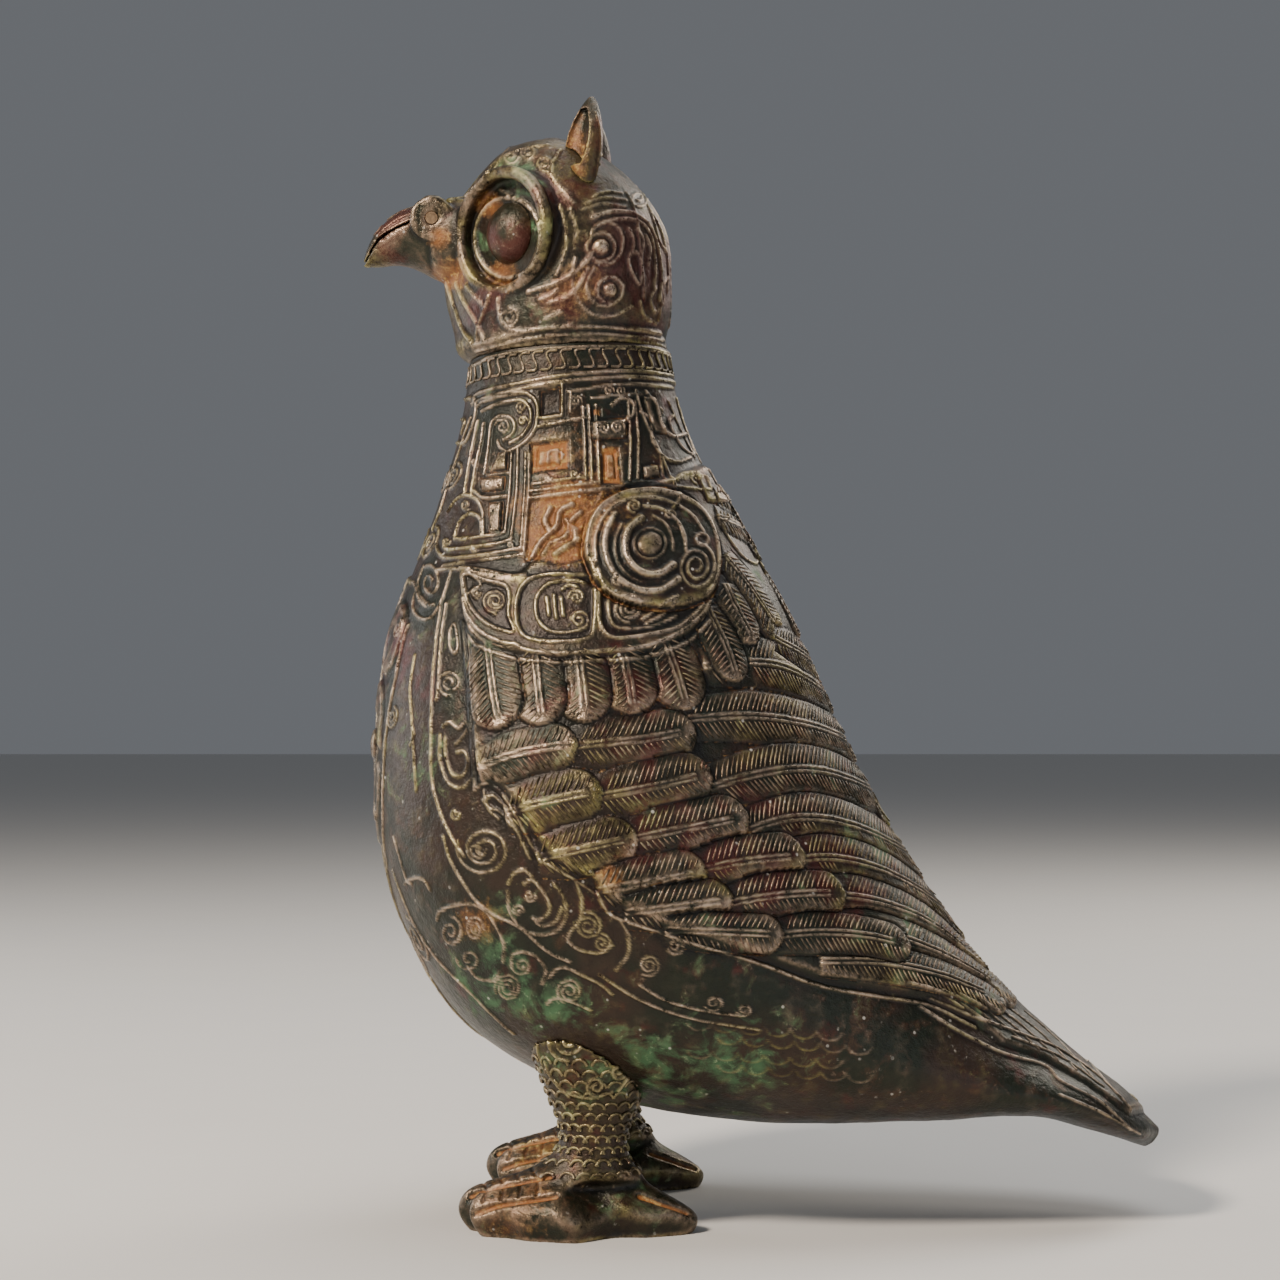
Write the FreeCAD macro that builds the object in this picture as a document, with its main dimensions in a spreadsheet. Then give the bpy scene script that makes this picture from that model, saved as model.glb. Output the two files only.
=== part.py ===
import FreeCAD, Part
import math
import os

import Sketcher

# Bronze bird-shaped wine vessel with a lift-off owl head and a hinged upper beak.
# +Z is up, the bird looks along -X and is symmetric about Y = 0, and the soles stand on Z = 0.
# X = 0 is halfway between the beak's tip and the tail's tip. The bird's left side is -Y.

Vector = FreeCAD.Vector
doc = FreeCAD.newDocument("BirdZun")

# Driving sizes, in millimetres and degrees
sizes = {
    "body_length": (187.7, "breast to tail tip"),
    "body_height": (186.0, "lowest line of the belly to the mouth rim"),
    "body_width": (111.0, "across the folded wings"),
    "belly_clearance": (21.9, "floor to the lowest line of the belly"),
    "wall": (3.2, "cast wall of belly and neck"),
    "wing_rise": (1.1, "folded wing above the flank"),
    "feather_rise": (0.8, "shoulder disc and feathers above the wing"),
    "feather_width": (5.2, "raised part of a long feather"),
    "layer_root": (0.5, "raised layers into the wall"),
    "mouth_length": (48.6, "rim, outside, front to back"),
    "mouth_width": (45.0, "rim, outside, side to side"),
    "rim_wall": (3.5, "wall round the mouth"),
    "mouth_depth": (15.0, "straight part of the mouth that holds the collar"),
    "mouth_tilt": (3.3, "forward lean of the mouth's axis"),
    "seam_gap": (0.1, "lid to rim, and piece to seat"),
    "collar_depth": (12.0, "collar below the rim"),
    "collar_seat": (6.0, "collar inside the head"),
    "collar_wall": (2.0, "wall of the collar"),
    "collar_fit": (0.25, "collar to mouth, all round"),
    "head_length": (55.4, "brow to nape"),
    "head_height": (53.9, "rim to crown"),
    "head_width": (50.0, "cheek to cheek"),
    "head_wall": (3.0, "cast wall of the head"),
    "beak_length": (18.3, "hinge to beak tip, along the head"),
    "beak_height": (5.4, "hinge to the ridge of the upper beak"),
    "beak_width": (12.8, "upper beak at its root"),
    "hinge_forward": (31.0, "hinge in front of the mouth's axis"),
    "hinge_height": (35.0, "hinge above the rim"),
    "knuckle_radius": (5.4, "round root of the upper beak"),
    "knuckle_gap": (0.35, "knuckle to its socket and lugs"),
    "lug_wall": (2.2, "each lug beside the knuckle"),
    "slit": (0.8, "opening between the two halves of the beak"),
    "pin_diameter": (3.0, "beak pin"),
    "pin_fit": (0.08, "pin to knuckle bore, on the radius"),
    "pin_seat_fit": (0.02, "pin to lug bore, on the radius"),
    "spout_width": (7.0, "channel through the lower beak"),
    "spout_height": (3.0, "channel through the lower beak"),
    "eye_ring_radius": (14.2, "middle of the raised ring round the eye"),
    "eye_ring_tube": (1.7, "radius of the raised ring"),
    "eyeball_radius": (7.4, "domed eyeball"),
    "eyeball_dome": (4.6, "height of the eyeball's dome"),
    "eye_stub_radius": (2.5, "stub that holds the eyeball"),
    "eye_stub_length": (2.4, "stub of the eyeball, into the wall"),
    "eye_back_wall": (3.0, "bronze behind the eye dish"),
    "eye_height": (28.4, "eye above the rim"),
    "eye_angle": (40.0, "how far the eye faces forward"),
    "ear_height": (22.6, "root to tip of the ear"),
    "ear_width": (11.2, "ear at its root"),
    "ear_thickness": (7.2, "ear at its root, front to back"),
    "ear_spread": (17.6, "root of the ear from the plane of symmetry"),
    "ear_root": (38.0, "root of the ear above the rim"),
    "ear_back": (7.5, "root of the ear behind the mouth's axis"),
    "ear_turn": (42.0, "how far the ear's cup faces outward"),
    "leg_spread": (30.0, "leg from the plane of symmetry"),
    "leg_width": (15.0, "shank, side to side"),
    "foot_length": (53.0, "claws to heel"),
    "foot_width": (31.0, "across the toes"),
    "plug_root": (4.0, "lower end of the leg's plug above the belly's lowest line"),
    "plug_radius": (5.5, "plug of the leg through the belly wall"),
    "button_radius": (8.5, "head of the plug inside the belly"),
    "button_height": (3.0, "head of the plug inside the belly"),
    "plug_fit": (0.1, "plug to belly wall"),
    "core_radius": (4.2, "clay core in the shank"),
    "core_fit": (0.05, "clay core to its leg"),
    "core_bottom": (5.0, "lower end of the clay core"),
    "core_length": (26.0, "clay core"),
    "spacer_side": (6.0, "side of a core spacer"),
    "spacer_cover": (0.9, "bronze over a core spacer"),
    "spacer_fit": (0.06, "core spacer to its pocket"),
}

sheet = doc.addObject("Spreadsheet::Sheet", "Sizes")
for row, (name, (value, note)) in enumerate(sizes.items(), start=1):
    sheet.set("A%d" % row, name)
    sheet.set("B%d" % row, str(value))
    sheet.set("C%d" % row, note)
    sheet.setAlias("B%d" % row, name)
doc.recompute()


def size(name):
    """A driving size, read back from the sheet."""
    return float(sheet.get(name))


# Small helpers
def bind(obj, **expressions):
    """Ties properties of an object to cells of the sheet."""
    for prop, expression in expressions.items():
        obj.setExpression(prop, expression)
    return obj


def feature(name, shape, placement=None):
    """A shape that is worked out below, as an object of the document."""
    obj = doc.addObject("Part::Feature", name)
    obj.Shape = shape
    if placement is not None:
        obj.Placement = placement
    return obj


def cut(name, base, tool):
    obj = doc.addObject("Part::Cut", name)
    obj.Base = base
    obj.Tool = tool
    return obj


def common(name, base, tool):
    obj = doc.addObject("Part::Common", name)
    obj.Base = base
    obj.Tool = tool
    return obj


def fuse(name, *shapes):
    obj = doc.addObject("Part::MultiFuse", name)
    obj.Shapes = list(shapes)
    return obj


def cylinder(name, radius, height, placement):
    """A cylinder along the Z axis of its placement, both sizes as expressions."""
    obj = doc.addObject("Part::Cylinder", name)
    bind(obj, Radius=radius, Height=height)
    obj.Placement = placement
    return obj


def oval(name, long_radius, short_radius, height, base_z):
    """An oval cylinder in the mouth's frame, from base_z upwards, sizes as expressions."""
    outline = doc.addObject("Part::Ellipse", name + "_outline")
    bind(outline, MajorRadius=long_radius, MinorRadius=short_radius)
    outline.Placement = mouth.multiply(FreeCAD.Placement(Vector(0, 0, base_z), FreeCAD.Rotation()))
    obj = doc.addObject("Part::Extrusion", name)
    obj.Base = outline
    obj.DirMode = "Custom"
    obj.Dir = mouth.Rotation.multVec(Vector(0, 0, 1))
    obj.Solid = True
    bind(obj, LengthFwd=height)
    return obj


def power(value, exponent):
    return math.copysign(abs(value) ** exponent, value)


ring_points = 24


def ring(front, back, half_width, widest=0.5, front_power=2.0, back_power=2.0):
    """A closed smooth ring between two points of the symmetry plane.

    The powers shape the half before and behind the widest place: 2 is an ellipse, 1 a wedge.
    """
    along = back - front
    middle = front + along * widest
    points = []
    for k in range(ring_points):
        turn = 2 * math.pi * k / ring_points
        reach, bulge = math.cos(turn), math.sin(turn)
        exponent = 2 / (back_power if reach > 0 else front_power)
        share = (1 - widest) if reach > 0 else widest
        side = Vector(0, half_width * power(bulge, exponent), 0)
        points.append(middle + along * (share * power(reach, exponent)) + side)
    return closed_curve(points)


def closed_curve(points):
    curve = Part.BSplineCurve()
    knots = [k / len(points) for k in range(len(points) + 1)]
    curve.interpolate(Points=points, PeriodicFlag=True, Parameters=knots)
    return Part.Wire(curve.toShape())


def loft(wires):
    return Part.makeLoft(wires, True, False)


def mirrored(shape):
    return shape.mirror(Vector(0, 0, 0), Vector(0, 1, 0))


# Body outline as drawn: where each ring meets the symmetry plane in front and behind, its half
# width, its widest place and its two powers. Rings fan out from the mouth to the tail's tip.
drawn_length, drawn_height, drawn_width, drawn_belly = 187.7, 186.0, 111.0, 21.9
body_rings = [
    ((-73.4, 187.7), (-18.9, 191.1), 24.6, 0.50, 2.0, 2.0),
    ((-80.5, 164.4), (-9.2, 170.2), 31.0, 0.50, 2.0, 2.0),
    ((-90.2, 136.2), (4.2, 145.8), 42.0, 0.50, 2.1, 1.9),
    ((-92.8, 105.6), (14.5, 122.2), 51.0, 0.48, 2.2, 1.8),
    ((-88.3, 75.2), (24.9, 100.1), 55.5, 0.46, 2.2, 1.75),
    ((-69.4, 44.2), (37.3, 79.1), 54.0, 0.46, 2.2, 1.7),
    ((-42.0, 29.2), (46.8, 65.4), 49.5, 0.48, 2.1, 1.7),
    ((-5.0, 22.2), (57.6, 53.3), 42.0, 0.50, 2.0, 1.7),
    ((36.0, 22.4), (69.0, 42.6), 35.0, 0.50, 1.9, 1.7),
    ((64.6, 23.6), (79.0, 34.2), 29.0, 0.50, 1.8, 1.8),
    ((78.6, 20.0), (86.2, 28.8), 22.0, 0.50, 1.8, 1.8),
    ((87.0, 17.4), (91.8, 23.6), 14.5, 0.50, 1.8, 1.8),
    ((91.2, 16.0), (94.9, 20.6), 6.0, 0.50, 2.0, 2.0),
]
drawn_mouth = (-46.5, 206.5)
hollow_rings = 10
hollow_lap = 1.6

tilt = math.radians(size("mouth_tilt"))
length_scale = size("body_length") / drawn_length
height_scale = size("body_height") / drawn_height
width_scale = size("body_width") / drawn_width


def tilted(forward, up):
    """Offset from the mouth's centre of a point given along and up the mouth's frame."""
    return (
        forward * math.cos(tilt) - up * math.sin(tilt),
        forward * math.sin(tilt) + up * math.cos(tilt),
    )


# The part's own origin lies midway between the beak's tip and the tail's tip
tip_drop = 8.6
beak_tip = (-size("hinge_forward") - size("beak_length"), size("hinge_height") - tip_drop)
beak_reach = drawn_mouth[0] * length_scale + tilted(*beak_tip)[0]
tail_reach = body_rings[-1][1][0] * length_scale
origin_shift = -(beak_reach + tail_reach) / 2


def placed(point):
    """A drawn outline point at its real place."""
    x = point[0] * length_scale + origin_shift
    z = size("belly_clearance") + (point[1] - drawn_belly) * height_scale
    return Vector(x, 0, z)


mouth_centre = placed(drawn_mouth)
mouth_rotation = FreeCAD.Rotation(Vector(0, 1, 0), -size("mouth_tilt"))
mouth = FreeCAD.Placement(mouth_centre, mouth_rotation)
mouth_x = mouth_rotation.multVec(Vector(1, 0, 0))


def rim_ring(inset):
    """The mouth rim's outline, drawn in by inset."""
    reach = mouth_x * (size("mouth_length") / 2 - inset)
    return ring(mouth_centre - reach, mouth_centre + reach, size("mouth_width") / 2 - inset)


def body_rows(inset, rows):
    """Rings of the body's outside, each drawn in by inset."""
    wires = []
    for front, back, half, widest, front_power, back_power in rows:
        start, end = placed(front), placed(back)
        inward = (end - start).normalize() * inset
        half = half * width_scale - inset
        wires.append(ring(start + inward, end - inward, half, widest, front_power, back_power))
    return wires


def belly_hollow(inset):
    """The room inside the body, from within the mouth to the root of the tail."""
    drop = mouth_rotation.multVec(Vector(0, 0, hollow_lap - size("mouth_depth")))
    narrowing = size("rim_wall") + hollow_lap / 4
    reach = mouth_x * (size("mouth_length") / 2 - narrowing)
    top = mouth_centre + drop
    first = ring(top - reach, top + reach, size("mouth_width") / 2 - narrowing)
    return loft([first] + body_rows(inset, body_rings[1:hollow_rings]))


gap = size("seam_gap")
body_skin = loft([rim_ring(0)] + body_rows(0, body_rings))

# Raised forms, drawn from the side and alike on both sides: the folded wings, the shoulder disc with
# the scroll border under it, the long feathers by their quills, and the short feathers by their tips
wing_outline = [
    (-69, 151), (-68, 140), (-66, 122), (-64, 103), (-60, 103), (-54.5, 98), (-50, 90), (-46, 86),
    (-37.5, 81), (-32.5, 76.5), (-24.5, 72), (-13.5, 68), (0, 64), (13.5, 58.5), (27, 55.5), (39, 53),
    (49.5, 47.5), (55, 42.5), (66, 38), (75, 33), (84, 26.5), (100, 30), (100, 60), (30, 150),
    (-5, 175), (-26, 172), (-32, 171), (-41, 163), (-50, 152), (-60, 153.5),
]
disc_centre, disc_length, disc_height = (-25.5, 157.5), 30.0, 29.0
disc_corners = 16
border_outline = [
    (-69, 152), (-68.5, 145), (-64, 134.7), (-55.5, 132), (-45, 130.8), (-36, 131.2), (-27, 132),
    (-18.3, 135.6), (-11.6, 145.4), (-20, 150), (-40, 152), (-54, 150.4), (-66, 153.2),
]
quills = [
    [
        (-61.6, 106.6), (-53.8, 109.6), (-40.7, 111.8), (-26.9, 112.5),
        (-15.4, 115), (-4.6, 118), (7, 116.7), (26, 111),
    ],
    [
        (-55, 96.7), (-46.8, 99.2), (-35.2, 101.4), (-20.2, 103.1),
        (-4.6, 104.1), (6.8, 105.8), (16.3, 104.3), (34, 98),
    ],
    [
        (-46, 87.5), (-37.7, 89), (-27.6, 91.2), (-11.3, 93.9),
        (4.5, 94.5), (13.7, 94.3), (23.3, 91.1), (44, 80),
    ],
    [
        (-34, 80.5), (-24.4, 81.5), (-12.6, 83.6), (6.7, 85.3),
        (16, 85.4), (26.7, 82.1), (38, 75.3), (56, 62),
    ],
    [
        (-19, 76), (-6.8, 77.3), (4.4, 77.4), (15.8, 77.2),
        (27.6, 74.5), (39.9, 68.2), (53.4, 56.3), (72, 40),
    ],
]
tips = [(-60.5, 114.5), (-50.5, 115), (-40, 115.5), (-29.8, 116.5), (-19, 118.5)]
tip_outline = [(-4.4, 20), (-4.4, 4), (-2.6, 0.8), (0, -0.4), (2.6, 0.8), (4.4, 4), (4.4, 20)]


def side_prism(outline):
    """A bar across the whole body, with an outline drawn from the side."""
    reach = size("body_width")
    points = [placed(p) + Vector(0, -reach, 0) for p in outline]
    return Part.Face(Part.makePolygon(points + points[:1])).extrude(Vector(0, 2 * reach, 0))


def disc_outline():
    for k in range(disc_corners):
        turn = 2 * math.pi * k / disc_corners
        across = disc_centre[0] + disc_length / 2 * math.cos(turn)
        yield across, disc_centre[1] + disc_height / 2 * math.sin(turn)


def feather_outline(quill):
    half = size("feather_width") / 2
    return [(x, z + half) for x, z in quill] + [(x, z - half) for x, z in reversed(quill)]


def raised(rise, outlines):
    """A layer within the outlines, from inside the wall out to a skin that stands proud by rise."""
    bars = [side_prism(list(outline)) for outline in outlines]
    plan = bars[0].fuse(bars[1:]) if len(bars) > 1 else bars[0]
    layer = loft(body_rows(-rise, body_rings)).cut(loft(body_rows(size("layer_root"), body_rings)))
    return layer.common(plan)


upper_outlines = [disc_outline(), border_outline] + [feather_outline(quill) for quill in quills]
upper_outlines += [[(x + dx, z + dz) for dx, dz in tip_outline] for x, z in tips]
wing_layer = raised(size("wing_rise"), [wing_outline])
upper_layer = raised(size("wing_rise") + size("feather_rise"), upper_outlines)
hollow = belly_hollow(size("wall"))

# Leg rings as drawn, in the plane of the leg: height, front, back and half width
drawn_foot, drawn_foot_width, drawn_shank = 53.0, 31.0, 15.0
foot_rings = [
    (0.0, -65.6, -15.6, 14.4),
    (4.4, -68.2, -15.2, 15.5),
    (8.0, -67.4, -20.6, 14.2),
    (10.8, -63.6, -25.4, 11.0),
]
shank_rings = [
    (14.6, -52.6, -28.6, 8.8),
    (20.8, -46.4, -30.8, 7.5),
    (26.0, -46.9, -29.6, 7.9),
    (32.5, -49.6, -26.8, 10.0),
    (39.5, -52.4, -22.0, 13.0),
    (48.0, -55.0, -19.0, 15.4),
    (58.0, -55.0, -20.0, 14.2),
    (66.0, -52.0, -24.0, 10.5),
]
drawn_leg = -38.6
toe_period = math.radians(30)
toe_lobe = 0.055
heel_share = 0.62
leg_x = placed((drawn_leg, 0)).x
leg_step = size("belly_clearance") / drawn_belly
spread = size("leg_spread") * width_scale


def foot_outline(level, front, back, half):
    """Three blunt toes in front, a narrow heel behind."""
    length_share = size("foot_length") / drawn_foot
    middle = leg_x + ((front + back) / 2 - drawn_leg) * length_share
    reach = (back - front) / 2 * length_share
    width = half * size("foot_width") / drawn_foot_width
    points = []
    for k in range(ring_points):
        turn = 2 * math.pi * k / ring_points
        off = abs(turn - math.pi)
        lobe = toe_lobe * math.cos(2 * math.pi * off / toe_period) if off < 1.6 * toe_period else 0
        side = heel_share if math.cos(turn) > 0 else 1
        x = middle + reach * (1 + lobe) * math.cos(turn)
        y = -spread + width * (1 + lobe) * side * math.sin(turn)
        points.append(Vector(x, y, level * leg_step))
    return closed_curve(points)


def shank_outline(level, front, back, half):
    start = Vector(leg_x + (front - drawn_leg) * length_scale, -spread, level * leg_step)
    end = Vector(leg_x + (back - drawn_leg) * length_scale, -spread, level * leg_step)
    return ring(start, end, half * size("leg_width") / drawn_shank)


# Left side shapes; the right ones are their mirror images
leg_blank = loft([foot_outline(*r) for r in foot_rings] + [shank_outline(*r) for r in shank_rings])
leg_seat = loft(body_rows(-gap, body_rings[2:]))


def column(x, y, base_z):
    return FreeCAD.Placement(Vector(x, y, base_z), FreeCAD.Rotation())


def hollow_floor(x, y):
    """Height of the hollow's floor above a place of the sole plane."""
    line = Part.makeLine(Vector(x, y, 0), Vector(x, y, placed(drawn_mouth).z))
    return hollow.common(line).BoundBox.ZMin


button_reach = size("button_radius")
around = [(0, 0)] + [
    (button_reach * math.cos(k * math.pi / 4), button_reach * math.sin(k * math.pi / 4))
    for k in range(8)
]
button_z = max(hollow_floor(leg_x + dx, -spread + dy) for dx, dy in around) + gap
plug_foot = size("belly_clearance") + size("plug_root")
core_foot = size("core_bottom")

# Vessel body
hollow_object = feature("belly_hollow", hollow)
outside = feature("body_outside", body_skin)
bore = oval(
    "mouth_bore",
    "Sizes.mouth_length / 2 - Sizes.rim_wall",
    "Sizes.mouth_width / 2 - Sizes.rim_wall",
    "Sizes.mouth_depth + 2",
    -size("mouth_depth"),
)
cover = size("spacer_cover")

# Core spacers: drawn place, and the way each one faces
spacer_places = [
    ((-56, 0, 112), (0, -1, 0)),
    ((-56, 0, 112), (0, 1, 0)),
    ((-12, 0, 88), (0, -1, 0)),
    ((-12, 0, 88), (0, 1, 0)),
    ((-60, 0, 128), (-1, 0, 0)),
    ((4, 0, 60), (0, 0, -1)),
]


def spacer_prism(name, place, way, growth):
    """A square bar that runs from inside the hollow out through the wall."""
    bar = doc.addObject("Part::Box", name)
    bind(bar, Length="Sizes.spacer_side + %s" % growth, Width="Sizes.spacer_side + %s" % growth)
    bind(bar, Height="Sizes.body_width")
    centre = placed((place[0], place[2]))
    half = (size("spacer_side") + float(sheet_value(growth))) / 2
    rotation = FreeCAD.Rotation(Vector(0, 0, 1), Vector(*way))
    bar.Placement = FreeCAD.Placement(centre + rotation.multVec(Vector(-half, -half, 0)), rotation)
    return bar


def sheet_value(expression):
    """Value of '2 * Sizes.name' or '0'."""
    if expression == "0":
        return 0
    factor, name = expression.split(" * Sizes.")
    return float(factor) * size(name)


pocket_zone = feature("pocket_zone", loft(body_rows(cover, body_rings)))
deeper = cover + size("spacer_fit")
spacer_zone = feature("spacer_zone", loft(body_rows(deeper, body_rings)))
pockets, spacers = [], []
for number, (place, way) in enumerate(spacer_places, start=1):
    grown = "2 * Sizes.spacer_fit"
    pocket_bar = spacer_prism("pocket_bar_%d" % number, place, way, grown)
    pockets.append(common("pocket_%d" % number, pocket_zone, pocket_bar))
    bar = spacer_prism("spacer_bar_%d" % number, place, way, "0")
    whole = common("spacer_in_zone_%d" % number, spacer_zone, bar)
    spacers.append(cut("spacer_%d" % number, whole, hollow_object))
core_spacers = doc.addObject("Part::Compound", "core_spacers")
core_spacers.Links = spacers

plug_holes = []
for side in (-1, 1):
    place = column(leg_x, side * spread, plug_foot)
    hole = cylinder(
        "plug_hole_%d" % (side + 2), "Sizes.plug_radius + Sizes.plug_fit", "Sizes.leg_spread", place
    )
    plug_holes.append(hole)
openings = fuse("body_openings", hollow_object, bore, *(plug_holes + pockets))
plain_body = cut("plain_body", outside, openings)
vessel_body = fuse(
    "vessel_body", plain_body, feature("wing_layer", wing_layer), feature("upper_layer", upper_layer)
)
# The curved faces of the layers stay apart where they meet, since joined ones come out unsound
vessel_body.Refine = False


def turned(name, corners, arc_radius=None):
    """A piece turned about its Z axis from a profile of (radius, height) expressions.

    The last edge but one is an arc of arc_radius where that is given.
    """
    body = doc.addObject("PartDesign::Body", name)
    sketch = body.newObject("Sketcher::SketchObject", name + "_profile")
    plane = [f for f in body.Origin.OriginFeatures if f.Role == "XZ_Plane"][0]
    sketch.AttachmentSupport = (plane, [""])
    sketch.MapMode = "FlatFace"
    values = [(evaluated(a), evaluated(b)) for a, b in corners]
    count = len(corners)
    for k in range(count):
        a, b = Vector(*values[k], 0), Vector(*values[(k + 1) % count], 0)
        if arc_radius and k == count - 2:
            radius = evaluated(arc_radius)
            centre = Vector(0, b.y - radius, 0)
            circle = Part.Circle(centre, Vector(0, 0, 1), radius)
            start = math.atan2(a.y - centre.y, a.x - centre.x)
            sketch.addGeometry(Part.ArcOfCircle(circle, start, math.pi / 2), False)
        else:
            sketch.addGeometry(Part.LineSegment(a, b), False)
    for k in range(count):
        sketch.addConstraint(Sketcher.Constraint("Coincident", k, 2, (k + 1) % count, 1))
    for k, (a, b) in enumerate(corners):
        for kind, axis, expression in (("DistanceX", -2, a), ("DistanceY", -1, b)):
            value = evaluated(expression)
            if abs(value) < 1e-9:
                sketch.addConstraint(Sketcher.Constraint("PointOnObject", k, 1, axis))
            else:
                index = sketch.addConstraint(Sketcher.Constraint(kind, -1, 1, k, 1, value))
                sketch.setExpression("Constraints[%d]" % index, expression)
    if arc_radius:
        value = evaluated(arc_radius)
        index = sketch.addConstraint(Sketcher.Constraint("Radius", count - 2, value))
        sketch.setExpression("Constraints[%d]" % index, arc_radius)
    turn = body.newObject("PartDesign::Revolution", name + "_turned")
    turn.Profile = sketch
    turn.ReferenceAxis = (sketch, ["V_Axis"])
    turn.Angle = 360
    return body


def evaluated(expression):
    """Number that a sum, product or quotient of sheet cells stands for."""
    return float(sheet.evalExpression(expression))


# Legs, their plugs and their clay cores
seat_object = feature("leg_seat", leg_seat)
core_profile = [
    ("0", "0"),
    ("Sizes.core_radius", "0"),
    ("Sizes.core_radius", "Sizes.core_length"),
    ("0", "Sizes.core_length"),
]
left_leg_core = turned("left_leg_core", core_profile)
right_leg_core = turned("right_leg_core", core_profile)
legs = []
for side, name, core in ((-1, "left", left_leg_core), (1, "right", right_leg_core)):
    core.Placement = column(leg_x, side * spread, core_foot)
    blank = feature(name + "_leg_blank", leg_blank if side < 0 else mirrored(leg_blank))
    thigh = cut(name + "_thigh", blank, seat_object)
    plug_height = "%s + Sizes.button_height / 2" % (button_z - plug_foot)
    place = column(leg_x, side * spread, plug_foot)
    plug = cylinder(name + "_plug", "Sizes.plug_radius", plug_height, place)
    button = cylinder(
        name + "_button",
        "Sizes.button_radius",
        "Sizes.button_height",
        column(leg_x, side * spread, button_z),
    )
    room = cylinder(
        name + "_core_room",
        "Sizes.core_radius + Sizes.core_fit",
        "Sizes.core_length + 2 * Sizes.core_fit",
        column(leg_x, side * spread, core_foot - size("core_fit")),
    )
    legs.append(cut(name + "_leg", fuse(name + "_leg_whole", thigh, plug, button), room))
left_leg, right_leg = legs

# Head, drawn in the mouth's frame: height, front, back, half width, widest place, two powers
drawn_head_length, drawn_head_height, drawn_head_width = 55.4, 53.9, 50.0
head_rings = [
    (6.0, -27.8, 24.6, 24.0, 0.54, 1.80, 2.0),
    (14.0, -29.3, 25.6, 25.0, 0.56, 1.55, 2.0),
    (22.0, -29.5, 25.9, 25.0, 0.56, 1.40, 2.0),
    (30.0, -28.2, 25.0, 24.4, 0.56, 1.32, 2.0),
    (37.0, -26.6, 21.6, 22.6, 0.58, 1.38, 2.0),
    (43.0, -22.3, 17.0, 19.6, 0.58, 1.55, 2.0),
    (48.5, -17.2, 11.0, 15.5, 0.58, 1.80, 2.0),
    (52.0, -10.8, 5.6, 10.0, 0.55, 2.0, 2.0),
    (53.9, -4.4, 1.0, 3.4, 0.5, 2.0, 2.0),
]
hollow_top = 7
head_x = size("head_length") / drawn_head_length
head_z = size("head_height") / drawn_head_height
head_y = size("head_width") / drawn_head_width


def head_outline(row, inset):
    height, front, back, half, widest, front_power, back_power = row
    start = Vector(front * head_x + inset, 0, height * head_z)
    end = Vector(back * head_x - inset, 0, height * head_z)
    return ring(start, end, half * head_y - inset, widest, front_power, back_power)


def oval_ring(reach, half, height):
    return ring(Vector(-reach, 0, height), Vector(reach, 0, height), half)


collar_reach = size("mouth_length") / 2 - size("rim_wall") - size("collar_fit")
collar_half = size("mouth_width") / 2 - size("rim_wall") - size("collar_fit")
throat_reach = collar_reach - size("collar_wall") + gap
throat_half = collar_half - size("collar_wall") + gap
head_base = oval_ring(size("mouth_length") / 2, size("mouth_width") / 2, gap)
head_skin = loft([head_base] + [head_outline(row, 0) for row in head_rings])
head_hollow = loft(
    [oval_ring(throat_reach, throat_half, size("collar_seat") - 1)]
    + [head_outline(row, size("head_wall")) for row in head_rings[1:hollow_top]]
)


def in_mouth(x, y, z, rotation=None):
    """Placement at a point of the mouth's frame."""
    return mouth.multiply(FreeCAD.Placement(Vector(x, y, z), rotation or FreeCAD.Rotation()))


# Beak, drawn from the hinge: distance forward, ridge, slit, underside, half widths of both halves
drawn_beak, drawn_ridge, drawn_beak_half = 18.3, 5.4, 6.4
beak_rings = [
    (0.6, 5.4, -0.2, -13.6, 6.4, 8.4),
    (6.1, 4.5, -0.3, -10.5, 6.3, 7.3),
    (11.2, 2.2, -2.1, -9.4, 5.4, 5.8),
    (13.8, -0.1, -3.6, -9.5, 4.5, 4.7),
    (16.5, -3.4, -6.7, -9.4, 3.0, 3.1),
    (18.2, -7.8, -8.6, -9.6, 1.2, 1.3),
]
nose_rings = [(-9.0, 5.6, -18.0, 10.6), (-4.0, 5.8, -16.2, 9.6)]
arch_shoulder = arch_rise = math.sqrt(0.5)
lower_root = (-2.0, 5.4, -0.2, -14.4, 6.4, 8.2)
beak_x = size("beak_length") / drawn_beak
beak_z = size("beak_height") / drawn_ridge
beak_y = size("beak_width") / 2 / drawn_beak_half
hinge = Vector(-size("hinge_forward"), 0, size("hinge_height"))
half_slit = size("slit") / 2


def arch(ahead, base, top, half):
    """A flat side at the height base and a smooth arch over or under it, across the beak."""
    x, low = hinge.x - ahead, hinge.z + base
    rise = top - base
    points = [
        Vector(x, -half, low),
        Vector(x, -half * arch_shoulder, low + rise * arch_rise),
        Vector(x, 0, low + rise),
        Vector(x, half * arch_shoulder, low + rise * arch_rise),
        Vector(x, half, low),
    ]
    curve = Part.BSplineCurve()
    curve.interpolate(Points=points, Parameters=[0, 0.25, 0.5, 0.75, 1])
    return Part.Wire([curve.toShape(), Part.makeLine(points[-1], points[0])])


def upper_rings():
    for ahead, ridge, line, under, half, lower_half in beak_rings:
        base = line * beak_z + half_slit
        top = max(ridge * beak_z, base + half_slit)
        yield arch(ahead * beak_x, base, top, half * beak_y)


def lower_rings():
    for ahead, ridge, line, under, half, lower_half in [lower_root] + beak_rings:
        base = line * beak_z - half_slit
        low = min(under * beak_z, base - half_slit)
        yield arch(ahead * beak_x, base, low, lower_half * beak_y)


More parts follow.
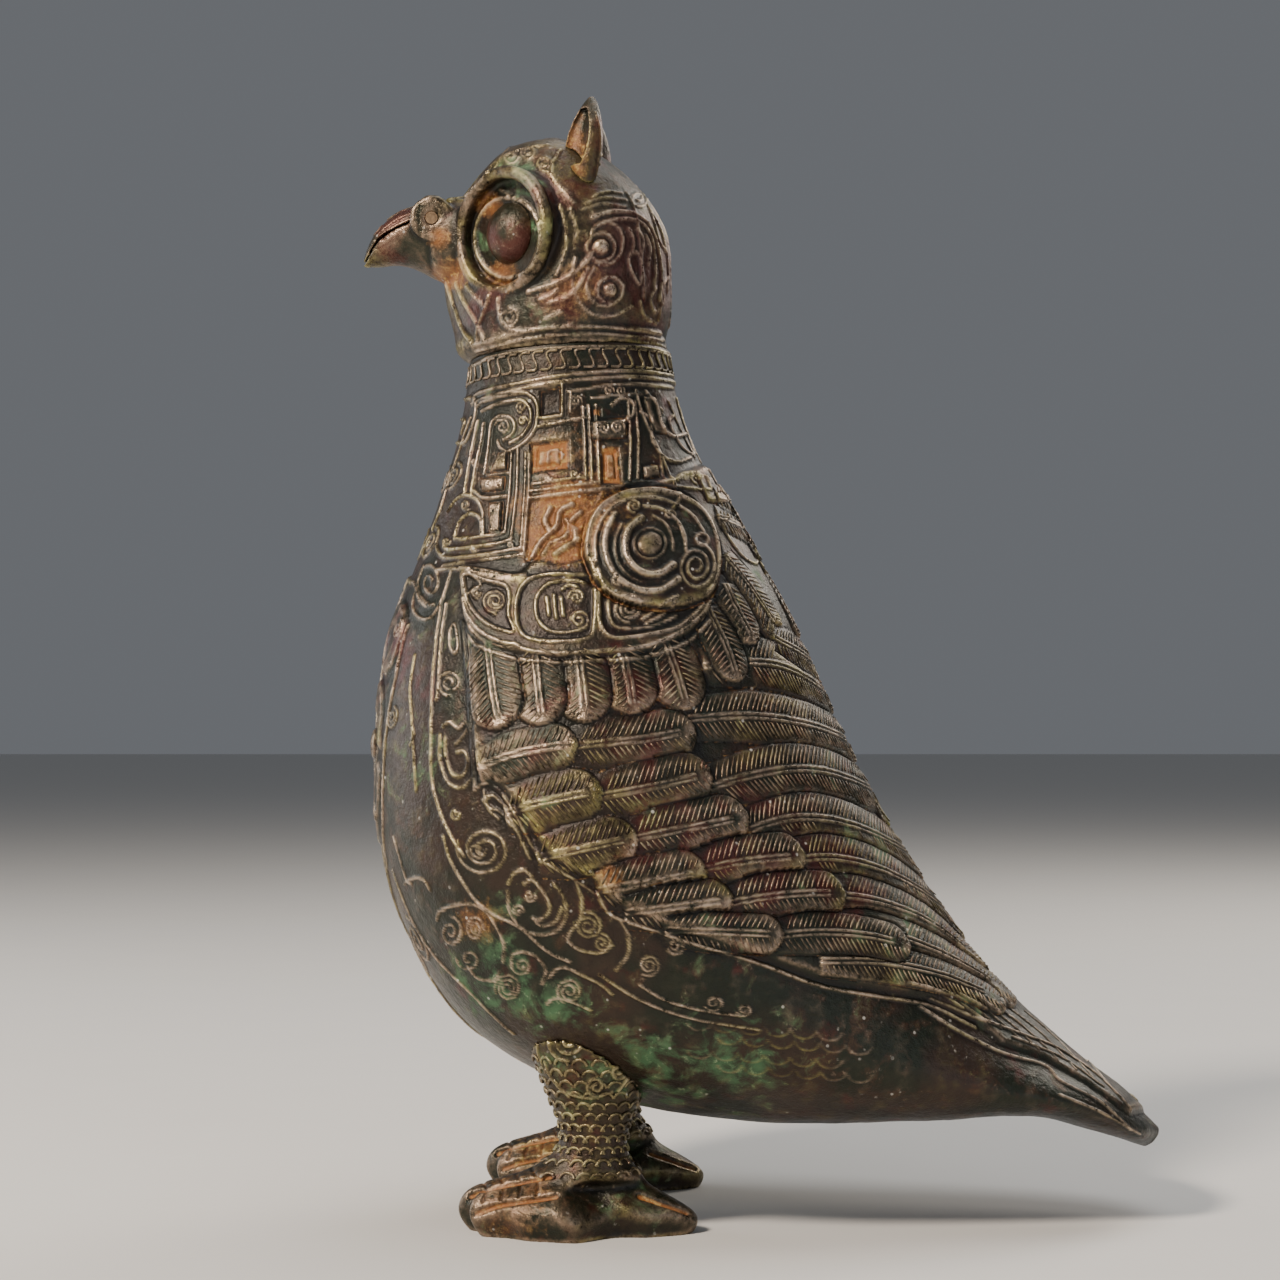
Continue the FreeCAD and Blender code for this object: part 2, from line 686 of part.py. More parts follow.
def nose_blank():
    """Root of the beak, which carries the lugs: an arch above and a keel below."""
    wires = []
    ahead_last = beak_rings[0][0]
    for ahead, ridge, under, half in nose_rings + [(ahead_last, 4.6, -13.2, 8.4)]:
        start = Vector(hinge.x - ahead * beak_x, 0, hinge.z + under * beak_z)
        end = Vector(hinge.x - ahead * beak_x, 0, hinge.z + ridge * beak_z)
        wires.append(ring(start, end, half * beak_y, 0.55, 2.2, 2.4))
    return loft(wires)


sideways = FreeCAD.Rotation(Vector(1, 0, 0), -90)
knuckle_half = size("beak_width") / 2
socket_half = knuckle_half + size("knuckle_gap")
lug_half = socket_half + size("lug_wall")


def across_hinge(name, radius, half):
    """A cylinder across the beak on the hinge's axis, radius and half width as expressions."""
    place = in_mouth(hinge.x, -evaluated(half), hinge.z, sideways)
    return cylinder(name, radius, "2 * (%s)" % half, place)


socket_expression = "Sizes.beak_width / 2 + Sizes.knuckle_gap"
lug_expression = socket_expression + " + Sizes.lug_wall"

# Eyes, which look outward and forward from the widest place of the head
eye_axis_x = 2.0
turn_out = math.radians(size("eye_angle"))
eye_way = Vector(-math.sin(turn_out), -math.cos(turn_out), 0)
eye_start = Vector(eye_axis_x * head_x, 0, size("eye_height"))
eye_line = Part.makeLine(eye_start, eye_start + eye_way * size("head_length"))
eye_reach = head_skin.common(eye_line).Length
eye_lift = 0.6
dish_depth = 1.7
eye_drum_depth = 7.0


def eye_place(side, lift):
    """Placement on the eye's axis, lift above the skin, with Z looking out."""
    way = Vector(eye_way.x, -side * eye_way.y, 0)
    centre = eye_start + way * (eye_reach + lift)
    return mouth.multiply(FreeCAD.Placement(centre, FreeCAD.Rotation(Vector(0, 0, 1), way)))


head_blank = feature("head_blank", head_skin, mouth)
hollow_blank = feature("head_hollow", head_hollow, mouth)
nose = feature("beak_root", nose_blank(), mouth)
lower_beak = feature("lower_beak", loft(list(lower_rings())), mouth)
eye_drums = []
for side in (-1, 1):
    drum = cylinder(
        "eye_drum_%d" % (side + 2),
        "Sizes.eye_ring_radius + Sizes.eye_ring_tube / 2",
        "%s" % (eye_drum_depth + eye_lift),
        eye_place(side, -eye_drum_depth),
    )
    brow = doc.addObject("Part::Torus", "eye_ring_%d" % (side + 2))
    bind(brow, Radius1="Sizes.eye_ring_radius", Radius2="Sizes.eye_ring_tube")
    brow.Placement = eye_place(side, eye_lift)
    eye_drums += [drum, brow]
head_outside = fuse("head_outside", head_blank, nose, lower_beak, *eye_drums)
eye_backs = []
for side in (-1, 1):
    back = cylinder(
        "eye_back_%d" % (side + 2),
        "Sizes.eye_ring_radius + Sizes.eye_ring_tube",
        "Sizes.eye_ring_radius * 2",
        eye_place(side, -dish_depth - size("eye_back_wall")),
    )
    eye_backs.append(back)
room_inside = cut("head_room", hollow_blank, fuse("eye_back_pair", *eye_backs))
shell = cut("head_shell", head_outside, room_inside)
lugs = across_hinge("hinge_lugs", "Sizes.knuckle_radius", lug_expression)
carrier = fuse("head_carrier", shell, lugs)
socket = across_hinge(
    "knuckle_socket", "Sizes.knuckle_radius + Sizes.knuckle_gap", socket_expression
)
pin_seat = across_hinge(
    "pin_seat", "Sizes.pin_diameter / 2 + Sizes.pin_seat_fit", lug_expression + " + 1"
)

# Spout channel: it passes under the socket and comes out between the halves of the beak
rise = math.radians(30)
under_socket = 1.0
channel_drop = (
    size("knuckle_radius") + size("knuckle_gap") + under_socket + size("spout_height") / 2
)
channel_centre = hinge + Vector(-math.sin(rise), 0, -math.cos(rise)) * channel_drop
channel_back, channel_front = 13.0, 11.5
channel = doc.addObject("Part::Box", "spout_channel")
bind(channel, Width="Sizes.spout_width", Height="Sizes.spout_height")
channel.Length = channel_back + channel_front
channel_turn = FreeCAD.Rotation(Vector(0, 1, 0), math.degrees(rise))
corner = Vector(-channel_front, -size("spout_width") / 2, -size("spout_height") / 2)
corner = channel_centre + channel_turn.multVec(corner)
channel.Placement = in_mouth(corner.x, corner.y, corner.z, channel_turn)

collar_room = oval(
    "collar_room",
    "Sizes.mouth_length / 2 - Sizes.rim_wall - Sizes.collar_fit + Sizes.seam_gap / 2",
    "Sizes.mouth_width / 2 - Sizes.rim_wall - Sizes.collar_fit + Sizes.seam_gap / 2",
    "Sizes.collar_seat + 1",
    -1,
)
eye_cuts = []
for side in (-1, 1):
    dish = cylinder(
        "eye_dish_%d" % (side + 2),
        "Sizes.eye_ring_radius - Sizes.eye_ring_tube * 0.8",
        "Sizes.eye_ring_radius",
        eye_place(side, -dish_depth),
    )
    stub_hole = cylinder(
        "stub_hole_%d" % (side + 2),
        "Sizes.eye_stub_radius + Sizes.seam_gap / 2",
        "Sizes.eye_stub_length + Sizes.seam_gap + 1",
        eye_place(side, -dish_depth - size("eye_stub_length") - gap),
    )
    eye_cuts += [dish, stub_hole]
head_cuts = fuse("head_cuts", socket, pin_seat, channel, collar_room, *eye_cuts)
lid_head = cut("lid_head", carrier, head_cuts)

# Collar that hangs in the mouth
collar_outside = oval(
    "collar_outside",
    "Sizes.mouth_length / 2 - Sizes.rim_wall - Sizes.collar_fit",
    "Sizes.mouth_width / 2 - Sizes.rim_wall - Sizes.collar_fit",
    "Sizes.collar_depth + Sizes.collar_seat",
    -size("collar_depth"),
)
collar_inside = oval(
    "collar_inside",
    "Sizes.mouth_length / 2 - Sizes.rim_wall - Sizes.collar_fit - Sizes.collar_wall",
    "Sizes.mouth_width / 2 - Sizes.rim_wall - Sizes.collar_fit - Sizes.collar_wall",
    "Sizes.collar_depth + Sizes.collar_seat + 2",
    -size("collar_depth") - 1,
)
lid_collar = cut("lid_collar", collar_outside, collar_inside)

# Eyeballs, each with its stub
eye_profile = [
    ("0", "0"),
    ("Sizes.eye_stub_radius", "0"),
    ("Sizes.eye_stub_radius", "Sizes.eye_stub_length"),
    ("Sizes.eyeball_radius", "Sizes.eye_stub_length"),
    ("0", "Sizes.eye_stub_length + Sizes.eyeball_dome"),
]
dome_radius = (
    "(Sizes.eyeball_radius * Sizes.eyeball_radius + Sizes.eyeball_dome * Sizes.eyeball_dome)"
    " / (2 * Sizes.eyeball_dome)"
)
left_eye = turned("left_eye", eye_profile, dome_radius)
right_eye = turned("right_eye", eye_profile, dome_radius)
left_eye.Placement = eye_place(-1, -dish_depth - size("eye_stub_length"))
right_eye.Placement = eye_place(1, -dish_depth - size("eye_stub_length"))

# Ears: height, half width, half thickness, and how far the middle leans back and inward
drawn_ear = 22.6
ear_rings = [
    (0.0, 3.6, 2.8, -1.0, 0.0),
    (6.0, 5.4, 3.6, -0.6, 0.4),
    (12.0, 5.6, 3.5, 0.2, 1.2),
    (17.0, 4.2, 2.6, 1.0, 2.2),
    (20.6, 2.2, 1.5, 1.8, 3.0),
    (22.4, 0.7, 0.6, 2.2, 3.4),
]
cup_rings = [
    (5.0, 2.8, 2.6, 3.2),
    (8.0, 4.0, 3.0, 2.9),
    (12.5, 4.2, 2.8, 2.7),
    (16.5, 3.0, 2.0, 2.0),
    (19.4, 1.3, 1.0, 1.4),
]
drawn_ear_half, drawn_ear_thick = 5.6, 3.6
ear_z = size("ear_height") / drawn_ear
ear_w = size("ear_width") / 2 / drawn_ear_half
ear_t = size("ear_thickness") / 2 / drawn_ear_thick
facing = math.radians(size("ear_turn"))
ear_way = Vector(-math.cos(facing), -math.sin(facing), 0)
ear_side = Vector(-ear_way.y, ear_way.x, 0)
ear_root = Vector(size("ear_back"), -size("ear_spread"), size("ear_root"))


def ear_section(height, half, thick, back, inward, ahead):
    middle = ear_root + Vector(back, inward, height * ear_z) + ear_way * (ahead * ear_t)
    points = []
    for k in range(ring_points // 2):
        turn = 4 * math.pi * k / ring_points
        wide = ear_side * (half * ear_w * math.cos(turn))
        points.append(middle + wide + ear_way * (thick * ear_t * math.sin(turn)))
    return closed_curve(points)


def lean(height):
    """Backward and inward lean of the ear's middle at a height."""
    for low, high in zip(ear_rings, ear_rings[1:]):
        if height <= high[0]:
            share = (height - low[0]) / (high[0] - low[0])
            return low[3] + (high[3] - low[3]) * share, low[4] + (high[4] - low[4]) * share
    return ear_rings[-1][3:]


ear_blank = loft([ear_section(h, w, d, back, inward, 0) for h, w, d, back, inward in ear_rings])
ear_cup = loft([ear_section(h, w, d, *lean(h), ahead) for h, w, d, ahead in cup_rings])
ear_seat_shape = loft([head_outline(row, -gap) for row in head_rings])
ear_seat = feature("ear_seat", ear_seat_shape, mouth)
ears = []
for side, name in ((-1, "left"), (1, "right")):
    blank_shape = ear_blank if side < 0 else mirrored(ear_blank)
    cup_shape = ear_cup if side < 0 else mirrored(ear_cup)
    blank = feature(name + "_ear_blank", blank_shape, mouth)
    cup = feature(name + "_ear_cup", cup_shape, mouth)
    ring_room = cylinder(
        name + "_ring_room",
        "Sizes.eye_ring_radius + Sizes.eye_ring_tube + Sizes.seam_gap",
        "%s" % (2 * eye_drum_depth),
        eye_place(side, -eye_drum_depth),
    )
    taken = fuse(name + "_ear_taken", cup, ear_seat, ring_room)
    ears.append(cut(name + "_ear", blank, taken))
left_ear, right_ear = ears

# Upper beak: an arched half beak on a round knuckle, bored for its pin
beak_blank = feature("upper_beak_blank", loft(list(upper_rings())), mouth)
knuckle = across_hinge("knuckle", "Sizes.knuckle_radius", "Sizes.beak_width / 2")
pin_bore = across_hinge(
    "pin_bore", "Sizes.pin_diameter / 2 + Sizes.pin_fit", "Sizes.beak_width / 2 + 1"
)
upper_beak = cut("upper_beak", fuse("upper_beak_whole", beak_blank, knuckle), pin_bore)
pin_profile = [
    ("0", "0"),
    ("Sizes.pin_diameter / 2", "0"),
    ("Sizes.pin_diameter / 2", "2 * (%s)" % lug_expression),
    ("0", "2 * (%s)" % lug_expression),
]
beak_pin = turned("beak_pin", pin_profile)
beak_pin.Placement = in_mouth(hinge.x, -lug_half, hinge.z, sideways)

pieces = {
    "vessel_body": vessel_body,
    "left_leg": left_leg,
    "right_leg": right_leg,
    "left_leg_core": left_leg_core,
    "right_leg_core": right_leg_core,
    "core_spacers": core_spacers,
    "lid_head": lid_head,
    "lid_collar": lid_collar,
    "left_ear": left_ear,
    "right_ear": right_ear,
    "left_eye": left_eye,
    "right_eye": right_eye,
    "upper_beak": upper_beak,
    "beak_pin": beak_pin,
}
for name, piece in pieces.items():
    piece.Label = name
doc.recompute()

# Every object has to be sound before anything is written
for obj in doc.Objects:
    if "Invalid" in obj.State or "Error" in obj.State:
        raise RuntimeError("%s is in state %s" % (obj.Name, obj.State))
for name, piece in pieces.items():
    if piece.Shape.isNull() or not piece.Shape.isValid():
        raise RuntimeError("%s has no sound shape" % name)

os.makedirs("parts", exist_ok=True)
for name, piece in pieces.items():
    shape = piece.Shape
    shape.exportStep("parts/%s.step" % name)
    box = shape.BoundBox
    print(
        "%s: %d solids, %.0f mm3, x %.1f..%.1f y %.1f..%.1f z %.1f..%.1f"
        % (name, len(shape.Solids), shape.Volume, box.XMin, box.XMax, box.YMin, box.YMax, box.ZMin, box.ZMax)
    )
world_hinge = mouth.multVec(hinge)
print("hinge %.2f %.2f" % (world_hinge.x, world_hinge.z))
print("mouth centre %.2f %.2f" % (mouth_centre.x, mouth_centre.z))
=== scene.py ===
import bpy
import bmesh
import math
import numpy as np
from mathutils import Matrix, Vector, noise
from mathutils.bvhtree import BVHTree


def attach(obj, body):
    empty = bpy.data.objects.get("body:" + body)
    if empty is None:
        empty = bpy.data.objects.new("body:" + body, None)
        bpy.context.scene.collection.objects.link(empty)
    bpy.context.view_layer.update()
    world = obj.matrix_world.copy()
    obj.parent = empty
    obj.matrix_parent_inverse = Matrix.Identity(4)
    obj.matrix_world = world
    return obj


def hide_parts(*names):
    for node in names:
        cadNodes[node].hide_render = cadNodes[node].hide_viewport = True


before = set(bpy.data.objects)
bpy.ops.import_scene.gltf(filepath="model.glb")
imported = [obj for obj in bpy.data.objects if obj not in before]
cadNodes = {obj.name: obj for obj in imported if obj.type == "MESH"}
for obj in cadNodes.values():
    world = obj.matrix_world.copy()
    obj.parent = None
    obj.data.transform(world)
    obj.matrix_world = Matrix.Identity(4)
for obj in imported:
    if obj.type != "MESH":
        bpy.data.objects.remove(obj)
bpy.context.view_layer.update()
metre = 0.001  # one millimetre in metres; all shapes below are worked out in millimetres
side = -1  # the bird's left side is -Y


# The camera stands where the photograph was taken from
camera = {
    "eye": (1.17, -620.0, 113.0),
    "target": (-28.03, 0.0, 137.3),
    "focal": 2548.0,  # focal length in pixels of the frame
    "frame": 1280,  # the photograph's side in pixels
    "sensor": 36.0,
}
pixelsPerMm = 4.1  # at the bird's own distance
eye = np.array(camera["eye"])
ahead = np.array(camera["target"]) - eye
ahead /= np.linalg.norm(ahead)
rightward = np.cross(ahead, (0, 0, 1))
rightward /= np.linalg.norm(rightward)
upward = np.cross(rightward, ahead)


def inPhoto(points):
    # where points are seen, in pixels of the photograph's frame
    away = points - eye
    scale = camera["focal"] / (away @ ahead)
    half = camera["frame"] / 2
    return np.stack((half + (away @ rightward) * scale, half - (away @ upward) * scale), -1)


# A line of relief is drawn as it is seen in the photograph, from the front, or from behind
def fromPhoto(place):
    half = camera["frame"] / 2
    way = ahead * camera["focal"] + rightward * (place[0] - half) - upward * (place[1] - half)
    return eye, way / np.linalg.norm(way)


def fromFront(place):
    return np.array((-200.0, place[0], place[1])), np.array((1.0, 0.0, 0.0))


def fromBehind(place):
    return np.array((200.0, place[0], place[1])), np.array((-1.0, 0.0, 0.0))


frontEnds = -50.0  # a closed line drawn from the front takes only the skin ahead of this, in millimetres


# Lines in the plane of a view
def smooth(points, closed=False):
    points = np.array(points, float)
    count = len(points)
    if count < 3:
        return points
    picked = []
    for k in range(count if closed else count - 1):
        if closed:
            a, b, c, d = (points[(k + j) % count] for j in (-1, 0, 1, 2))
        else:
            b, c = points[k], points[k + 1]
            a = points[k - 1] if k else 2 * b - c
            d = points[k + 2] if k + 2 < count else 2 * c - b
        for t in np.arange(0, 1, 0.125):
            square = (2 * a - 5 * b + 4 * c - d) * t**2
            cube = (3 * b - a - 3 * c + d) * t**3
            picked.append(0.5 * (2 * b + (c - a) * t + square + cube))
    picked.append(points[0] if closed else points[-1])
    return np.array(picked)


def straight(points, closed=False):
    points = [tuple(p) for p in points]
    return np.array(points + points[:1] if closed else points, float)


def evenly(points, spacing):
    steps = np.linalg.norm(np.diff(points, axis=0), axis=1)
    run = np.concatenate(([0], np.cumsum(steps)))
    count = max(2, int(run[-1] / spacing) + 1)
    at = np.linspace(0, run[-1], count)
    return np.stack([np.interp(at, run, points[:, k]) for k in range(points.shape[1])], -1)


def ringLine(centre, radius, tall=1.0, start=0, end=360):
    turn = np.radians(np.linspace(start, end, 40))
    return np.stack((centre[0] + radius * np.cos(turn), centre[1] + radius * tall * np.sin(turn)), -1)


def spiralLine(centre, radius, turns, start, sense=1, tall=1.0):
    core = 0.18  # share of the radius left open in the middle
    share = np.linspace(0, 1, int(28 * turns))
    turn = math.radians(start) + sense * 2 * math.pi * turns * share
    reach = radius * (1 - (1 - core) * share)
    return np.stack((centre[0] + reach * np.cos(turn), centre[1] + reach * tall * np.sin(turn)), -1)


def inside(points, outline):
    # even-odd test of many points against a closed outline
    hit = np.zeros(len(points), bool)
    x, y = points[:, 0], points[:, 1]
    for (ax, ay), (bx, by) in zip(outline, np.roll(outline, -1, 0)):
        if ay != by:
            hit ^= ((ay > y) != (by > y)) & (x < (bx - ax) * (y - ay) / (by - ay) + ax)
    return hit


def vertexNormals(points, faces):
    across = np.cross(points[faces[:, 2]] - points[faces[:, 0]], points[faces[:, 3]] - points[faces[:, 1]])
    normals = np.zeros_like(points)
    for k in range(4):
        np.add.at(normals, faces[:, k], across)
    length = np.linalg.norm(normals, axis=1, keepdims=True)
    return normals / np.maximum(length, 1e-12)


def soften(share):
    # round profile of a worn line: one at its middle, nothing at its foot
    return np.clip(1 - share**2, 0, 1) ** 1.5


class Relief:
    # A bronze skin in millimetres and the height that the casting adds at each of its points.
    # Both sides of a mirrored skin take the same relief, so points are looked up folded onto one side.
    def __init__(self, points, faces, plane=0.0, folded=False):
        self.points = points
        self.faces = faces
        self.normals = vertexNormals(points, faces)
        self.tree = BVHTree.FromPolygons(points.tolist(), faces.tolist())
        self.look = points.copy()
        if folded:
            self.look[:, 1] = plane + side * np.abs(points[:, 1] - plane)
        self.pixels = inPhoto(self.look)
        for field in ("plate", "up", "down", "earth", "green", "red", "bright"):
            setattr(self, field, np.zeros(len(points)))

    def lay(self, view, line, spacing=0.32):
        # brings a line of a view onto the skin, as even steps in millimetres
        steps = evenly(line, 1.2 if view is fromPhoto else 0.3)
        hits = []
        for place in steps:
            start, way = view(place)
            found = self.tree.ray_cast(Vector(start), Vector(way))[0]
            if found is None:
                reach = -start[1] / way[1] if view is fromPhoto else 200
                found = self.tree.find_nearest(Vector(start + way * reach))[0]
            hits.append(found)
        return evenly(np.array(hits), spacing)

    def near(self, path, reach):
        # points within reach of the path, how far they are, and the step of the path they are nearest to
        gap = np.full(len(self.points), reach * reach)
        step = np.full(len(self.points), -1)
        x, y, z = self.look[:, 0], self.look[:, 1], self.look[:, 2]
        for first in range(0, len(path), 24):
            part = path[first:first + 24]
            low, high = part.min(0) - reach, part.max(0) + reach
            close = np.flatnonzero(
                (x > low[0]) & (x < high[0]) & (z > low[2]) & (z < high[2]) & (y > low[1]) & (y < high[1])
            )
            if not len(close):
                continue
            spans = ((self.look[close][:, None, :] - part[None]) ** 2).sum(-1)
            nearest = spans.argmin(1)
            best = spans[np.arange(len(close)), nearest]
            better = best < gap[close]
            gap[close[better]] = best[better]
            step[close[better]] = first + nearest[better]
        found = np.flatnonzero(step >= 0)
        return found, np.sqrt(gap[found]), step[found]

    def ridge(self, line, cut, view=fromPhoto):
        # a raised line; its cut is its width and height in millimetres, and how strong the painted highlight on
        # its crest is
        width, height, bright = cut
        found, gap, _ = self.near(self.lay(view, line), width / 2)
        shape = soften(gap / (width / 2))
        self.up[found] = np.maximum(self.up[found], height * shape)
        self.bright[found] = np.maximum(self.bright[found], bright * shape**2)

    def groove(self, line, cut, view=fromPhoto):
        # a sunken line; its cut is its width and depth in millimetres, and how much earth lies in it
        width, depth, earth = cut
        found, gap, _ = self.near(self.lay(view, line), width / 2)
        shape = soften(gap / (width / 2))
        self.down[found] = np.maximum(self.down[found], depth * shape)
        self.earth[found] = np.maximum(self.earth[found], earth * shape)

    def ridges(self, lines, cut, view=fromPhoto, drawn=smooth):
        for line in lines:
            self.ridge(drawn(line), cut, view)

    def cutLines(self, lines, bright):
        # lines that each have a width and a height of their own, and one strength of painted highlight on their
        # crests
        for width, height, line in lines:
            self.ridge(smooth(line), (width, height, bright))

    def spirals(self, spirals, cut, view=fromPhoto):
        for spiral in spirals:
            self.ridge(spiralLine(*spiral), cut, view)

    def rings(self, rings, cut, view=fromPhoto):
        for ring in rings:
            self.ridge(ringLine(*ring), cut, view)

    def dome(self, place, radius, height, bright):
        # a small boss, with a painted highlight over it
        found, gap, _ = self.near(self.lay(fromPhoto, np.array([place, place], float)), radius)
        shape = np.sqrt(np.clip(1 - (gap / radius) ** 2, 0, 1))
        self.up[found] = np.maximum(self.up[found], height * shape)
        self.bright[found] = np.maximum(self.bright[found], bright * shape)

    def raiseWithin(self, line, height, bevel=1.0, view=fromPhoto, dome=0.0, earth=0.0, level=False):
        # lifts, or with a negative height sinks, everything inside a closed line. With level the
        # height is absolute and covers what was there
        path = self.lay(view, line)
        if view is fromPhoto:
            within = inside(self.pixels, line)
        else:
            within = inside(self.look[:, 1:], line)
            within &= (self.look[:, 0] < frontEnds) == (view is fromFront)
        share = np.ones(len(self.points))
        found, gap, _ = self.near(path, bevel)
        share[found] = gap / bevel
        share = share * share * (3 - 2 * share)
        if dome:
            found, gap, _ = self.near(path, dome)
            full = np.ones(len(self.points))
            full[found] = np.sqrt(np.clip(1 - (1 - gap / dome) ** 2, 0, 1))
            share = share * full
        if level:
            self.plate[within] += (height - self.plate[within]) * share[within]
            # a level plate dims the painted highlight and the earth under it
            self.bright[within] *= 0.2
            self.earth[within] *= 0.4
        else:
            self.plate[within] += height * share[within]
        if earth:
            self.earth[within] = np.maximum(self.earth[within], earth * share[within])

    def tints(self, patches, share=1.0):
        # patches of patina, strongest at their centre, as they are seen in the photograph
        for kind, centre, radius, amount, *tall in patches:
            tall = tall[0] if tall else 1.0
            gap = np.hypot(self.pixels[:, 0] - centre[0], (self.pixels[:, 1] - centre[1]) / tall) / radius
            field = getattr(self, kind)
            np.maximum(field, amount * share * np.clip(1 - gap**2, 0, 1), out=field)

    def heights(self):
        return self.plate + self.up - self.down


print("helpers ready")

# Vessel body: rings that fan out from the mouth to the tail's tip, in the plane of symmetry:
# front point, back point, half width, widest place and how full the halves are
bodyForm = {
    "rings": [
        ((-73.4, 187.7), (-18.9, 191.1), 24.6, 0.50, 2.0, 2.0),
        ((-80.5, 164.4), (-9.2, 170.2), 31.0, 0.50, 2.0, 2.0),
        ((-90.2, 136.2), (4.2, 145.8), 42.0, 0.50, 2.1, 1.9),
        ((-92.8, 105.6), (14.5, 122.2), 51.0, 0.48, 2.2, 1.8),
        ((-88.3, 75.2), (24.9, 100.1), 55.5, 0.46, 2.2, 1.75),
        ((-69.4, 44.2), (37.3, 79.1), 54.0, 0.46, 2.2, 1.7),
        ((-42.0, 29.2), (46.8, 65.4), 49.5, 0.48, 2.1, 1.7),
        ((-5.0, 22.2), (57.6, 53.3), 42.0, 0.50, 2.0, 1.7),
        ((36.0, 22.4), (69.0, 42.6), 35.0, 0.50, 1.9, 1.7),
        ((64.6, 23.6), (79.0, 34.2), 29.0, 0.50, 1.8, 1.8),
        ((78.6, 20.0), (86.2, 28.8), 22.0, 0.50, 1.8, 1.8),
        ((87.0, 17.4), (91.8, 23.6), 14.5, 0.50, 1.8, 1.8),
        ((91.2, 16.0), (94.9, 20.6), 6.0, 0.50, 2.0, 2.0),
    ],
    "shift": 1.169,  # from the drawing to the part's own origin
    "mouth": (-45.33, 0.0, 206.5),
    "mouthTilt": 3.3,
    "rim": (24.3, 22.5),  # half length and half width of the rim, outside
    "bore": (20.8, 19.0),  # the same inside
    "boreDepth": 15.0,
    "wall": 3.2,
    "columns": 401,  # steps round one half of the skin
    "rows": 640,
    "innerStep": 8,  # the plain inside has one point for this many outside
    "solidFrom": 0.83,  # the tail is solid beyond this share of the rows
}
mouthTilt = math.radians(bodyForm["mouthTilt"])
mouthCentre = np.array(bodyForm["mouth"])
mouthAlong = np.array((math.cos(mouthTilt), 0, math.sin(mouthTilt)))
mouthUp = np.array((-math.sin(mouthTilt), 0, math.cos(mouthTilt)))


def ringSide(front, back, halfWidth, widest, frontPower, backPower, count=241):
    # one half of a ring, from its front point round the left side to its back point
    turn = np.linspace(0, math.pi, count)
    reach, bulge = -np.cos(turn), np.sin(turn)
    power = np.where(reach > 0, 2 / backPower, 2 / frontPower)
    share = np.where(reach > 0, 1 - widest, widest) * np.sign(reach) * np.abs(reach) ** power
    points = (front + (back - front) * widest) + share[:, None] * (back - front)
    points[:, 1] = side * halfWidth * bulge**power
    return points


def throughRings(rings, count):
    # smooth rows through a stack of rings, evenly spaced along the skin
    rings = np.array(rings)
    chord = np.linalg.norm(np.diff(rings, axis=0), axis=2).mean(1)
    knots = np.concatenate(([0], np.cumsum(chord)))
    slopes = np.diff(rings, axis=0) / chord[:, None, None]
    tangents = np.empty_like(rings)
    tangents[0], tangents[-1] = slopes[0], slopes[-1]
    share = (chord[:-1] / (chord[:-1] + chord[1:]))[:, None, None]
    tangents[1:-1] = slopes[:-1] * (1 - share) + slopes[1:] * share
    rows = []
    for at in np.linspace(0, knots[-1], count):
        k = min(np.searchsorted(knots, at, side="right") - 1, len(chord) - 1)
        t = (at - knots[k]) / chord[k]
        a, b = rings[k], rings[k + 1]
        u, v = tangents[k] * chord[k], tangents[k + 1] * chord[k]
        starts = a * (2 * t**3 - 3 * t**2 + 1) + u * (t**3 - 2 * t**2 + t)
        rows.append(starts + b * (3 * t**2 - 2 * t**3) + v * (t**3 - t**2))
    return np.array(rows)


def evenColumns(rows, columns):
    made = []
    for row in rows:
        run = np.concatenate(([0], np.cumsum(np.linalg.norm(np.diff(row, axis=0), axis=1))))
        at = np.linspace(0, run[-1], columns)
        made.append(np.stack([np.interp(at, run, row[:, k]) for k in range(3)], -1))
    return np.array(made)


def placedPoint(point):
    return np.array((point[0] + bodyForm["shift"], 0, point[1]))


def gridFaces(rows, columns):
    first = (np.arange(rows - 1)[:, None] * columns + np.arange(columns - 1)[None]).ravel()
    return np.stack((first, first + columns, first + columns + 1, first + 1), -1)


reachRim, halfRim = bodyForm["rim"]
rimFront, rimBack = mouthCentre - mouthAlong * reachRim, mouthCentre + mouthAlong * reachRim
bodyRings = [ringSide(rimFront, rimBack, halfRim, 0.5, 2, 2)]
for front, back, *shape in bodyForm["rings"]:
    bodyRings.append(ringSide(placedPoint(front), placedPoint(back), *shape))
bodyRows, bodyColumns = bodyForm["rows"], bodyForm["columns"]
bodyGrid = evenColumns(throughRings(bodyRings, bodyRows), bodyColumns)
body = Relief(bodyGrid.reshape(-1, 3), gridFaces(bodyRows, bodyColumns))
flankPoint = (bodyRows // 2) * bodyColumns + bodyColumns // 2
if body.normals[flankPoint][1] > 0:
    body.normals *= -1  # the left flank faces -Y
print("body skin", len(body.points))

